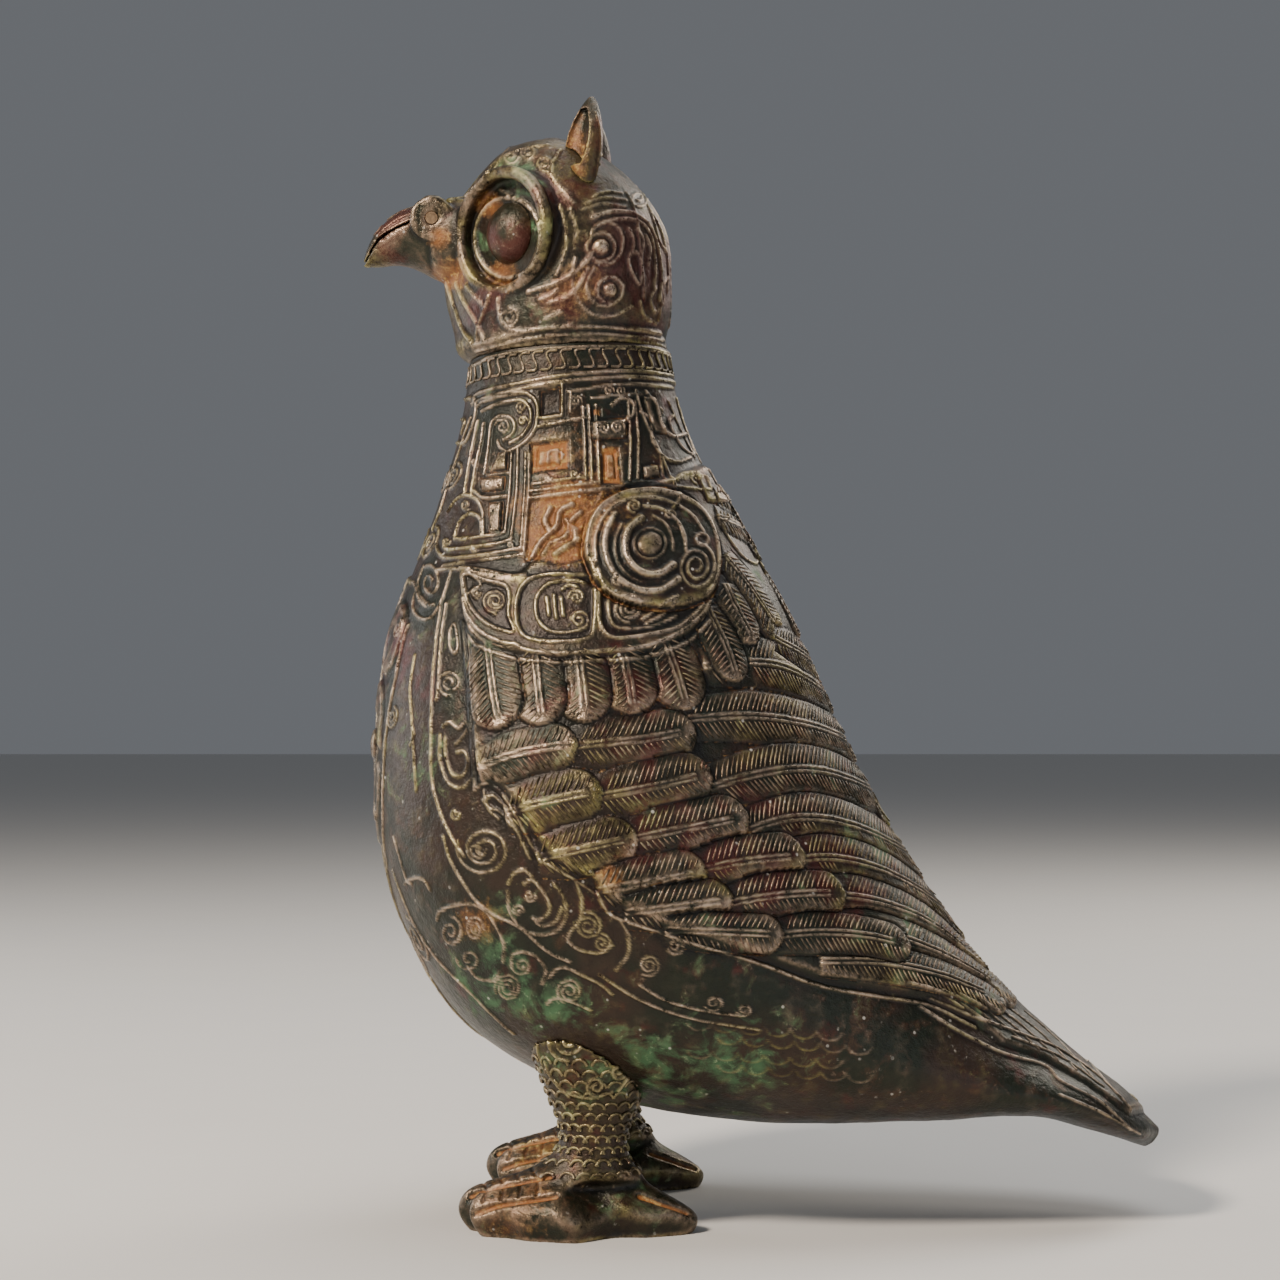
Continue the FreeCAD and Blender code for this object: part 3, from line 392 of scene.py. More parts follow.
# Rim and neck: a rope band, then straps, hooks and sunken boxes as the photograph shows them
neck = {
    "bandCut": (1.3, 0.5, 0.5),
    "curveCut": (1.25, 0.55, 0.7),
    "barCut": (1.0, 0.45, 0.6),
    "boxBevel": 0.6,
    "boxCut": (0.9, 0.3, 0.5),
    "spiralCut": (0.85, 0.4, 0.8),
    "clawCut": (2.1, 0.9, 0.4),
    "bands": [
        [(472, 404), (485, 398), (520, 389), (560, 382), (600, 378), (640, 377), (676, 383)],
        [(474, 397), (482, 392), (520, 383), (560, 376), (600, 372), (640, 371), (674, 376)],
        [(474, 366), (493, 356), (520, 350), (550, 347), (617, 345), (650, 348), (672, 355)],
    ],
    "curves": [
        [(476, 408), (486, 401), (520, 393), (531, 396), (537, 404), (538, 417)],
        [(482, 411), (498, 404), (519, 400), (527, 404), (531, 412), (530, 424), (522, 436), (510, 443)],
        [(537, 417), (536, 427), (529, 438), (518, 447), (507, 451), (500, 447), (498, 441)],
        [(485, 472), (489, 446), (491, 427), (495, 419), (503, 416), (512, 419), (515, 427), (512, 435),
         (504, 440)],
        [(478, 422), (474, 442), (468, 472), (465, 492)],
        [(484, 424), (481, 444), (475, 472), (472, 492)],
        [(471, 418), (462, 445), (450, 480), (441, 510), (433, 530)],
        [(455, 537), (459, 523), (466, 515), (474, 514), (481, 520), (482, 535)],
        [(448, 512), (456, 500), (466, 495), (477, 500), (483, 512), (484, 534)],
        [(474, 491), (485, 498), (506, 496)],
        [(439, 530), (437, 541), (438, 551), (447, 558), (474, 556), (500, 552), (521, 548)],
        [(443, 566), (459, 563), (499, 558), (524, 554)],
        [(444, 541), (447, 549), (474, 547), (500, 543), (512, 539)],
        [(455, 539), (474, 538), (505, 532)],
        [(436, 570), (452, 569), (475, 571), (527, 577)],
        [(646, 392), (655, 404), (660, 424), (672, 436), (686, 434)],
        [(640, 412), (650, 420), (652, 440), (662, 456), (676, 462), (690, 458)],
        [(612, 405), (622, 398), (632, 402), (633, 414), (624, 422)],
        [(705, 492), (700, 479), (690, 474), (680, 475), (675, 482)],
        [(548, 461), (549, 452), (557, 449), (562, 455), (558, 462)],
    ],
    "bars": [
        [(512, 451), (510, 491), (505, 532)],
        [(518, 450), (517, 491), (511, 540)],
        [(526, 453), (525, 491), (521, 548)],
        [(530, 454), (529, 491), (524, 556)],
        [(487, 475), (509, 473)],
        [(538, 418), (562, 415), (562, 384)],
        [(536, 427), (561, 422), (588, 417)],
        [(583, 407), (585, 440), (586, 479)],
        [(589, 406), (591, 440), (592, 480)],
        [(596, 405), (598, 440), (600, 482)],
        [(531, 491), (560, 487), (598, 482)],
        [(533, 484), (560, 480), (590, 476)],
        [(568, 392), (608, 385), (640, 384), (672, 388)],
        [(570, 411), (571, 392)],
        [(592, 398), (620, 395), (644, 394)],
        [(530, 498), (560, 494), (600, 489), (640, 482), (672, 482)],
        [(648, 491), (676, 489), (706, 493)],
        [(628, 400), (631, 440), (630, 480)],
        [(635, 402), (639, 440), (638, 478)],
        [(668, 402), (680, 430), (694, 458)],
        [(676, 400), (690, 432), (704, 462)],
        [(660, 456), (664, 480)],
    ],
    "boxes": [
        ([(541, 392), (560, 387), (560, 412), (541, 416)], -0.6, 0.0),
        ([(480, 478), (505, 476), (504, 490), (482, 492)], 0.5, 0.0),
        ([(489, 503), (503, 501), (501, 532), (489, 534)], 0.6, 0.0),
        ([(498, 453), (508, 450), (507, 470), (490, 473)], 0.45, 0.0),
        ([(531, 444), (568, 440), (569, 468), (531, 473)], -0.5, 0.9),
        ([(538, 450), (560, 447), (560, 463), (537, 466)], 0.5, 0.3),
        ([(591, 421), (626, 418), (627, 437), (592, 440)], 0.5, 0.2),
        ([(601, 446), (618, 447), (622, 484), (602, 484)], -0.45, 0.8),
        ([(605, 453), (614, 453), (616, 478), (606, 479)], 0.4, 0.3),
        ([(643, 466), (658, 464), (660, 477), (645, 479)], 0.4, 0.2),
        ([(530, 502), (600, 492), (590, 515), (583, 545), (584, 562), (560, 566), (526, 560)], -0.35, 0.6),
        ([(592, 408), (601, 407), (601, 416), (592, 417)], -0.4, 0.8),
    ],
    "spirals": [
        ((503, 427), 8, 1.4, 200, 1),
        ((522, 407), 6, 1.4, 90, 1),
        ((523, 421), 5, 1.3, 0, -1),
        ((492, 484), 5, 1.3, 90, 1),
        ((576, 401), 6, 1.6, 0, -1),
        ((474, 548), 4, 1.2, 60, 1),
        ((510, 546), 4, 1.2, 60, -1),
        ((603, 429), 7, 1.5, 180, 1),
        ((617, 428), 7, 1.5, 0, -1),
        ((609, 391), 5, 1.3, 0, -1),
        ((622, 391), 5, 1.3, 90, 1),
        ((548, 478), 4, 1.2, 0, 1),
        ((575, 474), 5, 1.3, 0, 1),
        ((466, 505), 5, 1.2, 60, 1),
        ((447, 541), 4, 1.1, 0, 1),
        ((693, 480), 6, 1.2, 90, 1),
        ((660, 412), 5, 1.3, 90, 1),
        ((476, 462), 4, 1.2, 90, 1),
    ],
    "claws": [
        [(532, 557), (541, 541), (556, 527), (560, 511), (572, 504)],
        [(543, 555), (551, 543), (566, 536), (570, 523), (580, 512)],
        [(556, 556), (567, 548), (578, 541)],
        [(549, 530), (545, 520), (550, 508)],
        [(566, 520), (574, 530), (576, 540)],
    ],
}
body.ridges(neck["bands"], neck["bandCut"])
body.ridges(neck["curves"], neck["curveCut"])
body.ridges(neck["bars"], neck["barCut"], drawn=straight)
for outline, height, earth in neck["boxes"]:
    line = straight(outline, True)
    body.raiseWithin(line, height, neck["boxBevel"], earth=earth)
    body.groove(line, neck["boxCut"])
body.spirals(neck["spirals"], neck["spiralCut"])
body.ridges(neck["claws"], neck["clawCut"])

# The back of the neck is out of sight: the same straps and hooks, set either side of a ridge
nape = {
    "curveCut": (1.2, 0.5, 0.6),
    "boxRise": 0.5,
    "boxBevel": 0.6,
    "boxCut": (0.9, 0.3, 0.4),
    "curves": [
        [(-3, 196), (-3, 186), (-6, 182), (-11, 183), (-12, 189), (-9, 191)],
        [(-3, 178), (-3, 160), (-7, 155), (-14, 156), (-15, 163), (-10, 166)],
        [(-18, 196), (-19, 180), (-22, 170), (-25, 166)],
    ],
    "boxes": [
        [(-14, 176), (-6, 176), (-6, 169), (-15, 169)],
        [(-17, 195), (-14, 195), (-14.5, 186), (-17.5, 186)],
    ],
}
body.ridges(nape["curves"], nape["curveCut"], fromBehind)
for outline in nape["boxes"]:
    line = straight(outline, True)
    body.raiseWithin(line, nape["boxRise"], nape["boxBevel"], fromBehind)
    body.groove(line, nape["boxCut"], fromBehind)
print("neck relief")

# Wing: raised over the flank, with rows of long feathers under the short hanging ones.
# Each feather is its quill line from root to tip, and half its width in millimetres.
wing = {
    "outline": [
        (463, 600), (470, 700), (476, 786), (492, 786), (515, 806), (535, 842), (552, 862), (590, 884),
        (612, 905), (650, 924), (700, 942), (760, 960), (820, 982), (880, 993), (930, 1002), (975, 1024),
        (1000, 1046), (1045, 1062), (1085, 1085), (1130, 1118), (1200, 1100), (1000, 800), (760, 440),
        (600, 500), (520, 570),
    ],
    "rise": 1.1,
    "bevel": 2.2,
    "rows": [
        [([(715, 520), (735, 530), (752, 550), (775, 590)], 4.2), ([(712, 500), (730, 508), (748, 530)], 3.6)],
        [([(722, 560), (745, 590), (765, 622), (778, 640)], 4.6), ([(760, 560), (785, 610), (800, 640)], 4.2)],
        [([(704, 668), (745, 664), (780, 670), (812, 690), (835, 715)], 5.4),
         ([(770, 640), (800, 660), (820, 690)], 4.4)],
        [([(668, 722), (740, 718), (790, 724), (830, 738), (860, 762)], 5.2)],
        [([(686, 797), (740, 779), (790, 771), (830, 777), (870, 797), (905, 830)], 5.3)],
        [([(735, 835), (780, 821), (820, 821), (860, 833), (900, 856), (935, 890)], 5.3)],
        [([(745, 874), (790, 862), (830, 860), (875, 872), (920, 898), (965, 940)], 5.0)],
        [([(780, 902), (830, 897), (880, 906), (930, 930), (985, 978)], 4.8)],
        [([(800, 932), (860, 932), (910, 945), (960, 970), (1010, 1004)], 4.6)],
        [([(820, 962), (880, 965), (940, 980), (1000, 1008)], 4.0)],
        [([(572, 748), (610, 744), (650, 740), (692, 731)], 5.0), ([(482, 768), (520, 755), (578, 745)], 4.8)],
        [([(592, 799), (630, 792), (670, 784), (708, 774)], 5.2), ([(508, 813), (550, 802), (602, 792)], 5.2)],
        [([(628, 840), (670, 832), (710, 825), (744, 818)], 5.2), ([(540, 858), (590, 848), (636, 838)], 5.0)],
        [([(690, 872), (730, 864), (765, 860), (800, 858)], 5.0), ([(600, 890), (650, 882), (704, 872)], 5.0)],
        [([(720, 905), (760, 898), (800, 895), (840, 896)], 4.6), ([(628, 912), (680, 906), (730, 900)], 4.4)],
        [([(760, 938), (810, 934), (860, 938), (905, 950)], 4.2), ([(668, 930), (720, 932), (780, 936)], 3.8)],
    ],
    "short": [
        ([(722, 588), (735, 618), (750, 646)], 4.2),
        ([(705, 612), (722, 650), (732, 684)], 4.4),
        ([(662, 640), (674, 676), (684, 712)], 5.4),
        ([(620, 646), (628, 684), (632, 716)], 5.4),
        ([(578, 650), (583, 688), (586, 724)], 5.3),
        ([(536, 650), (540, 690), (545, 727)], 5.2),
        ([(490, 645), (496, 690), (503, 730)], 5.4),
    ],
    "fullness": 1.28,
    "dome": 0.45,
    "shingle": 0.75,  # how far a feather's tip stands over the next one's root
    "rootWidth": 0.75,  # a feather's width at its root, and the share of its length where it is full
    "rootLength": 0.3,
    "edgeBevel": 0.7,
    "edgeSink": 0.25,
    "quillGap": 0.55,
    "quillSlope": 0.4,
    "quillHeight": 0.35,
    "quillEnd": 0.86,
    "quillHighlight": 0.5,
    "edgeEarth": 0.5,
}
body.raiseWithin(straight(wing["outline"], True), wing["rise"], wing["bevel"])
wingPlate = body.plate.copy()
featherOwner = np.full(len(body.points), -1)
feathers = []


def featherLimit(along, length, halfWidth):
    # half the width of a feather at places along its quill: narrow root, round tip
    tip = np.clip((along - (length - halfWidth)) / halfWidth, 0, 1)
    root, full = wing["rootWidth"], wing["rootLength"]
    widening = np.clip(root + (1 - root) * along / (full * length), 0, 1)
    return halfWidth * np.sqrt(np.clip(1 - tip**2, 0, 1)) * widening


def layFeather(line, halfWidth):
    halfWidth = halfWidth * wing["fullness"]
    path = body.lay(fromPhoto, smooth(line))
    run = np.concatenate(([0], np.cumsum(np.linalg.norm(np.diff(path, axis=0), axis=1))))
    tangent = np.gradient(path, axis=0)
    tangent /= np.linalg.norm(tangent, axis=1, keepdims=True)
    found, gap, step = body.near(path, halfWidth * 1.05)
    away = body.look[found] - path[step]
    along = run[step] + (away * tangent[step]).sum(1)
    aside = (away * np.cross(body.normals[found], tangent[step])).sum(1)
    length = run[-1]
    limit = featherLimit(along, length, halfWidth)
    share = np.abs(aside) / np.maximum(limit, 0.01)
    inner = (share < 1) & (along > -0.6) & (along < length)
    found, along, share, aside, limit = (a[inner] for a in (found, along, share, aside, limit))
    edge = np.clip((limit - np.abs(aside)) / wing["edgeBevel"], 0, 1)
    rise = wing["shingle"] * np.clip(along / length, 0, 1) + wing["dome"] * (1 - share**2)
    quill = soften((np.abs(aside) - wing["quillGap"]) / wing["quillSlope"]) * (along < length * wing["quillEnd"])
    height = (rise * edge * (2 - edge) + wing["quillHeight"] * quill) - wing["edgeSink"] * (1 - edge)
    body.plate[found] = wingPlate[found] + height
    # a painted highlight along the quill, and earth in the sunken edges
    body.bright[found] = wing["quillHighlight"] * quill
    body.earth[found] = wing["edgeEarth"] * (1 - edge)
    featherOwner[found] = len(feathers)
    feathers.append((path, tangent, run, halfWidth))


for line, halfWidth in [feather for row in wing["rows"] for feather in row] + wing["short"]:
    layFeather(line, halfWidth)
print("feathers", len(feathers))

# Shoulder disc with its spirals, and the three lobes under it inside one lower border
shoulder = {
    "borderRise": 1.9,
    "borderBevel": 1.0,
    "plateRise": 2.5,
    "plateBevel": 1.4,
    "plateCut": (1.3, 0.5, 0.6),
    "bandCut": (1.2, 0.45, 0.9),
    # how strong the painted highlight on the crescents is
    "crescentHighlight": 0.9,
    "spiralCut": (1.05, 0.45, 0.9),
    "lobeSink": -0.5,
    "lobeBevel": 0.8,
    "lobeCut": (1.1, 0.45, 0.9),
    "innerCut": (1.1, 0.5, 0.8),
    "barCut": (1.2, 0.5, 0.8),
    "ringCut": (1.0, 0.4, 0.8),
    "plate": [
        (583, 560), (583, 540), (588, 520), (600, 503), (620, 491), (645, 488), (670, 492), (695, 506),
        (711, 530), (718, 560), (716, 585), (706, 602), (680, 612), (650, 612), (620, 605), (597, 590),
    ],
    "border": [
        (463, 600), (466, 622), (480, 645), (515, 656), (560, 661), (600, 659), (640, 656), (680, 641),
        (702, 620), (710, 600), (690, 606), (680, 612), (650, 612), (620, 605), (597, 590), (570, 574),
        (540, 576), (525, 577), (475, 567), (462, 571),
    ],
    "bands": [
        [(587, 562), (587, 542), (592, 522), (603, 507), (622, 496), (645, 493), (668, 497), (691, 510),
         (706, 532), (713, 560), (711, 584), (703, 598)],
        [(596, 566), (595, 545), (600, 527), (610, 513), (626, 504), (645, 502), (664, 506), (684, 518),
         (697, 536)],
        [(467, 600), (471, 617), (484, 634), (500, 643), (516, 647)],
        [(516, 646), (530, 653), (560, 656), (600, 654), (640, 650), (676, 636), (698, 618), (706, 604)],
        [(463, 622), (478, 646), (515, 660), (560, 665), (600, 663), (642, 660), (684, 645), (706, 624)],
        [(463, 571), (490, 573), (526, 578)],
    ],
    "crescents": [
        (2.4, 0.9, [(638, 523), (628, 532), (623, 548), (627, 565), (639, 577), (655, 579), (669, 570)]),
        (2.2, 0.7, [(613, 519), (606, 535), (604, 554), (610, 573), (622, 587), (640, 595), (659, 594),
                    (674, 584)]),
        (0.9, 0.4, [(620, 529), (614, 546), (616, 565), (625, 579), (640, 587), (657, 586)]),
        (1.3, 0.5, [(641, 511), (657, 514), (671, 525), (679, 541), (681, 556)]),
        (1.0, 0.4, [(650, 521), (662, 530), (668, 545), (669, 556)]),
        (1.0, 0.4, [(598, 574), (604, 590), (618, 600), (640, 606)]),
    ],
    "pupil": ((647, 549), 13, 0.9),  # place, radius in pixels, rise in millimetres
    "pupilBevel": 0.8,
    "spirals": [
        ((632, 511), 7, 1.5, 90, 1, 1.0),
        ((691, 572), 19, 2.5, 270, 1, 1.25),
        ((498, 604), 12, 2.3, 90, 1, 1.0),
        ((577, 600), 8, 1.5, 180, 1, 1.0),
        ((580, 622), 10, 1.6, 90, -1, 1.0),
        ((628, 611), 14, 2.4, 90, 1, 1.0),
        ((479, 596), 5, 1.4, 0, 1, 1.0),
        ((665, 520), 5, 1.3, 0, -1, 1.0),
        ((616, 585), 5, 1.3, 0, 1, 1.0),
    ],
    "lobes": [
        [(470, 577), (490, 584), (508, 589), (512, 600), (511, 617), (516, 634), (500, 631), (485, 622),
         (474, 608), (469, 592)],
        [(519, 606), (525, 589), (540, 578), (570, 577), (592, 579), (595, 592), (594, 624), (589, 640),
         (560, 644), (531, 641), (520, 628)],
        [(601, 592), (599, 612), (601, 628), (612, 640), (640, 638), (678, 628), (700, 606), (680, 613),
         (650, 611), (622, 603)],
    ],
    "inner": [
        [(586, 585), (566, 583), (549, 587), (539, 598), (537, 612), (542, 626), (554, 634), (575, 634),
         (588, 629)],
        [(472, 574), (480, 582), (484, 588), (476, 592), (471, 599)],
        [(609, 598), (608, 612), (612, 626), (622, 631), (650, 629), (674, 619)],
        [(641, 622), (652, 614), (664, 606), (674, 601)],
        [(645, 626), (658, 619), (670, 610)],
        [(563, 592), (570, 588), (578, 590)],
    ],
    "bars": [[(548, 600), (550, 618)], [(555, 598), (557, 620)], [(562, 600), (564, 618)]],
    "rings": [((696, 545), 6), ((647, 549), 15)],
}
disc = smooth(shoulder["plate"], True)
body.raiseWithin(smooth(shoulder["border"], True), shoulder["borderRise"], shoulder["borderBevel"], level=True)
body.raiseWithin(disc, shoulder["plateRise"], shoulder["plateBevel"], level=True)
body.groove(disc, shoulder["plateCut"])
body.ridges(shoulder["bands"], shoulder["bandCut"])
body.cutLines(shoulder["crescents"], shoulder["crescentHighlight"])
body.spirals(shoulder["spirals"], shoulder["spiralCut"])
for outline in shoulder["lobes"]:
    line = smooth(outline, True)
    body.raiseWithin(line, shoulder["lobeSink"], shoulder["lobeBevel"])
    body.ridge(line, shoulder["lobeCut"])
body.ridges(shoulder["inner"], shoulder["innerCut"])
body.ridges(shoulder["bars"], shoulder["barCut"], drawn=straight)
body.rings(shoulder["rings"], shoulder["ringCut"])
place, radius, rise = shoulder["pupil"]
body.raiseWithin(ringLine(place, radius), rise, shoulder["pupilBevel"], dome=radius / pixelsPerMm)
print("shoulder relief")

# Borders and scrolls of the wing's front edge, the breast and the belly
flank = {
    "edgeCut": (1.3, 0.5, 0.8),
    "spiralCut": (0.95, 0.42, 0.6),
    "curveCut": (1.1, 0.45, 0.6),
    "edge": [
        [(476, 788), (488, 784), (500, 792), (515, 812), (530, 842), (542, 862)],
        [(484, 800), (494, 796), (505, 808), (518, 832), (530, 858)],
        [(545, 862), (575, 880), (598, 896), (610, 914), (640, 926), (700, 946), (760, 964), (820, 986),
         (880, 997), (930, 1006), (975, 1028)],
        [(463, 622), (468, 680), (472, 740), (475, 790)],
        [(920, 1007), (960, 1032), (1000, 1052), (1045, 1066), (1062, 1082), (1100, 1102), (1130, 1129)],
        [(930, 1000), (970, 1018), (1010, 1034), (1055, 1052), (1095, 1080), (1128, 1112)],
    ],
    "spirals": [
        ((484, 850), 27, 2.3, 200, -1, 0.95),
        ((477, 850), 9, 1.3, 0, 1, 1.0),
        ((530, 896), 6, 1.3, 0, 1, 1.0),
        ((518, 911), 6, 1.3, 0, -1, 1.0),
        ((588, 926), 14, 2.2, 250, 1, 1.0),
        ((602, 943), 9, 1.6, 270, 1, 1.0),
        ((649, 965), 11, 2.0, 120, -1, 1.0),
        ((676, 946), 9, 1.6, 150, -1, 1.0),
        ((451, 932), 12, 1.6, 270, 1, 1.3),
        ((475, 929), 9, 2.0, 0, -1, 1.4),
        ((469, 959), 12, 1.3, 180, -1, 1.0),
        ((522, 966), 10, 1.5, 200, -1, 1.0),
        ((508, 988), 13, 2.6, 160, 1, 1.1),
        ((570, 991), 13, 2.2, 120, 1, 1.0),
        ((430, 582), 13, 1.7, 90, 1, 1.7),
        ((450, 683), 13, 1.9, 90, 1, 1.0),
        ((455, 814), 5, 1.1, 0, 1, 1.3),
        ((714, 1003), 10, 1.5, 150, -1, 0.8),
        ((744, 1010), 8, 1.4, 150, -1, 0.8),
    ],
    "curves": [
        [(424, 566), (416, 590), (413, 608), (420, 618), (430, 618), (440, 604), (447, 584), (452, 568)],
        [(420, 600), (426, 606), (434, 605)],
        [(450, 630), (454, 624), (457, 632), (458, 648), (454, 653), (450, 646), (450, 630)],
        [(441, 606), (436, 640), (432, 690), (431, 740), (432, 780), (440, 812), (452, 838), (464, 856)],
        [(446, 604), (441, 640), (438, 690), (436, 700)],
        [(470, 640), (472, 680), (474, 700), (478, 745), (480, 770)],
        [(443, 726), (450, 722), (458, 728), (466, 722), (470, 730)],
        [(445, 738), (446, 756), (452, 774), (462, 776), (468, 764), (465, 752), (457, 752)],
        [(440, 735), (440, 760), (448, 782), (462, 788), (474, 776)],
        [(474, 726), (475, 750), (474, 775)],
        [(467, 730), (460, 740), (455, 744)],
        [(483, 800), (490, 808), (500, 812), (512, 826)],
        [(484, 790), (488, 808), (500, 820)],
        [(443, 836), (452, 864), (472, 896), (484, 908), (498, 917), (520, 928), (548, 952), (570, 962)],
        [(437, 920), (440, 912), (452, 906), (470, 904), (484, 910), (496, 926), (504, 944), (503, 962)],
        [(508, 884), (514, 874), (524, 870), (531, 876)],
        [(524, 884), (532, 880), (540, 888), (548, 900), (549, 912), (540, 920), (532, 918)],
        [(533, 918), (542, 926), (556, 921), (562, 908)],
        [(508, 892), (510, 912), (524, 930), (542, 935), (558, 930), (566, 916), (564, 898), (554, 884)],
        [(575, 880), (582, 900), (580, 920), (572, 930), (568, 940), (580, 950), (600, 953), (612, 945)],
        [(620, 920), (628, 935), (628, 955), (616, 970)],
        [(512, 968), (512, 956), (522, 952), (538, 958), (546, 972), (542, 984)],
        [(549, 978), (556, 970), (566, 968), (584, 976), (600, 984), (612, 994)],
        [(547, 1004), (556, 998), (572, 1002), (590, 1010)],
        [(468, 966), (478, 978), (494, 980), (500, 972)],
        [(415, 655), (410, 690), (412, 720), (414, 760), (416, 790)],
        [(410, 745), (414, 736), (413, 726)],
        [(394, 836), (400, 858), (407, 880), (412, 884)],
        [(405, 884), (414, 878), (424, 880), (430, 890)],
        [(393, 870), (404, 900), (418, 930), (440, 962), (470, 992), (500, 1022), (514, 1034)],
        [(640, 985), (665, 1000), (700, 1010), (740, 1016)],
        [(600, 975), (640, 1000), (690, 1018), (760, 1030)],
        [(1010, 1040), (1060, 1062), (1100, 1090)],
        [(1060, 1095), (1100, 1112), (1140, 1134)],
    ],
    "scaleRows": [(700, 1022), (730, 1036), (700, 1050), (730, 1064)],  # where each row's first scale is
    "scaleCount": 6,
    "scalePitch": (26, 2),
    "scaleShape": (12, 0.7, 10, 170),  # radius, how tall, and the arc in degrees
    "scaleCut": (0.9, 0.18, 0.0),
    "tailLines": 9,
    "tailRoots": ((905, 985), (150, 38)),  # where the first line starts, and how far the starts spread
    "tailTips": ((960, 1010), (170, 95)),
    "tailBow": 4,
    "tailCut": (1.0, 0.35, 0.5),
    "backRidge": [(0, 150), (0, 26)],
    "backCut": (3.2, 1.3, 0.5),
}
body.ridges(flank["edge"], flank["edgeCut"])
body.spirals(flank["spirals"], flank["spiralCut"])
body.ridges(flank["curves"], flank["curveCut"])
for x, y in flank["scaleRows"]:
    across, down = flank["scalePitch"]
    places = [(x + across * k, y + down * k) for k in range(flank["scaleCount"])]
    body.rings([(place, *flank["scaleShape"]) for place in places], flank["scaleCut"])
for k in range(flank["tailLines"]):
    share = k / flank["tailLines"]
    root, tip = ([a + b * share for a, b in zip(*flank[end])] for end in ("tailRoots", "tailTips"))
    middle = ((root[0] + tip[0]) / 2, (root[1] + tip[1]) / 2 - flank["tailBow"])
    body.ridge(smooth([root, middle, tip]), flank["tailCut"])
body.ridge(straight(flank["backRidge"]), flank["backCut"], fromBehind)

# Breast, drawn from the front: an animal mask either side of a thin flange
breast = {
    "ridgeCut": (1.4, 0.6, 0.7),
    "panelRise": 0.9,
    "panelBevel": 0.8,
    "panelCut": (1.2, 0.4, 0.7),
    "flangeCut": (3.4, 1.3, 0.6),
    "notchCut": (1.3, 1.0, 0.4),
    "eyeRise": 1.5,
    "eyeBevel": 0.8,
    "eyeCut": (1.2, 0.55, 0.8),
    "spiralCut": (1.1, 0.45, 0.7),
    "ridges": [
        [(-3, 152), (-9, 151), (-16, 150), (-22, 146)],
        [(-4, 196), (-13, 194), (-13, 185), (-6, 185)],
        [(-4, 191), (-9, 190), (-9, 187)],
        [(-22, 140), (-24, 120), (-23, 100), (-19, 85), (-12, 72), (-4, 62)],
        [(-3, 84), (-7, 78), (-6, 70), (-3, 66)],
        [(-8, 60), (-13, 54), (-12, 46), (-6, 42)],
    ],
    "panels": [
        [(-3, 131), (-4, 140), (-10, 146), (-18, 144), (-22, 138), (-21, 131), (-16, 128), (-13, 131),
         (-16, 134), (-17, 138), (-12, 140), (-8, 138), (-7, 132)],
        [(-3.5, 122), (-8, 127), (-15, 126), (-20, 120), (-21, 112), (-18, 112), (-16, 118), (-10, 122),
         (-5, 119)],
        [(-3, 94), (-9, 97), (-14, 102), (-18, 108), (-22, 105), (-20, 98), (-14, 91), (-8, 88), (-3, 88)],
        [(-3, 113), (-5.5, 110), (-6.5, 104), (-5, 99), (-3, 98)],
    ],
    "flange": [(-0.1, 152), (-0.1, 58)],
    "notches": (144, 134, 124, 110, 101, 91, 80, 68),
    "eye": ((-11.0, 112.0), 4.2),
    "spirals": [
        ((-10.0, 80.0), 4.0), ((-15.0, 62.0), 5.0), ((-7.0, 53.0), 3.6), ((-24.0, 66.0), 5.5),
        ((-15.0, 96.0), 2.2), ((-19.0, 139.0), 2.2), ((-17.5, 85.0), 3.0), ((-26.0, 118.0), 2.6),
    ],
    "collar": [((-5.0, 160.0), 4.0), ((-13.0, 160.0), 4.0), ((-5.0, 176.0), 3.5), ((-12.0, 176.0), 3.5)],
}
body.ridges(breast["ridges"], breast["ridgeCut"], fromFront)
for outline in breast["panels"]:
    line = smooth(outline, True)
    body.raiseWithin(line, breast["panelRise"], breast["panelBevel"], fromFront)
    body.ridge(line, breast["panelCut"], fromFront)
body.ridge(straight(breast["flange"]), breast["flangeCut"], fromFront)
for z in breast["notches"]:
    body.groove(straight([(-2.6, z), (-0.1, z)]), breast["notchCut"], fromFront)
centre, radius = breast["eye"]
body.raiseWithin(ringLine(centre, radius), breast["eyeRise"], breast["eyeBevel"], fromFront, dome=radius)
body.ridge(ringLine(centre, radius * 1.5, 0.8), breast["eyeCut"], fromFront)
for centre, radius in breast["spirals"] + breast["collar"]:
    body.ridge(spiralLine(centre, radius, 1.9, 90), breast["spiralCut"], fromFront)

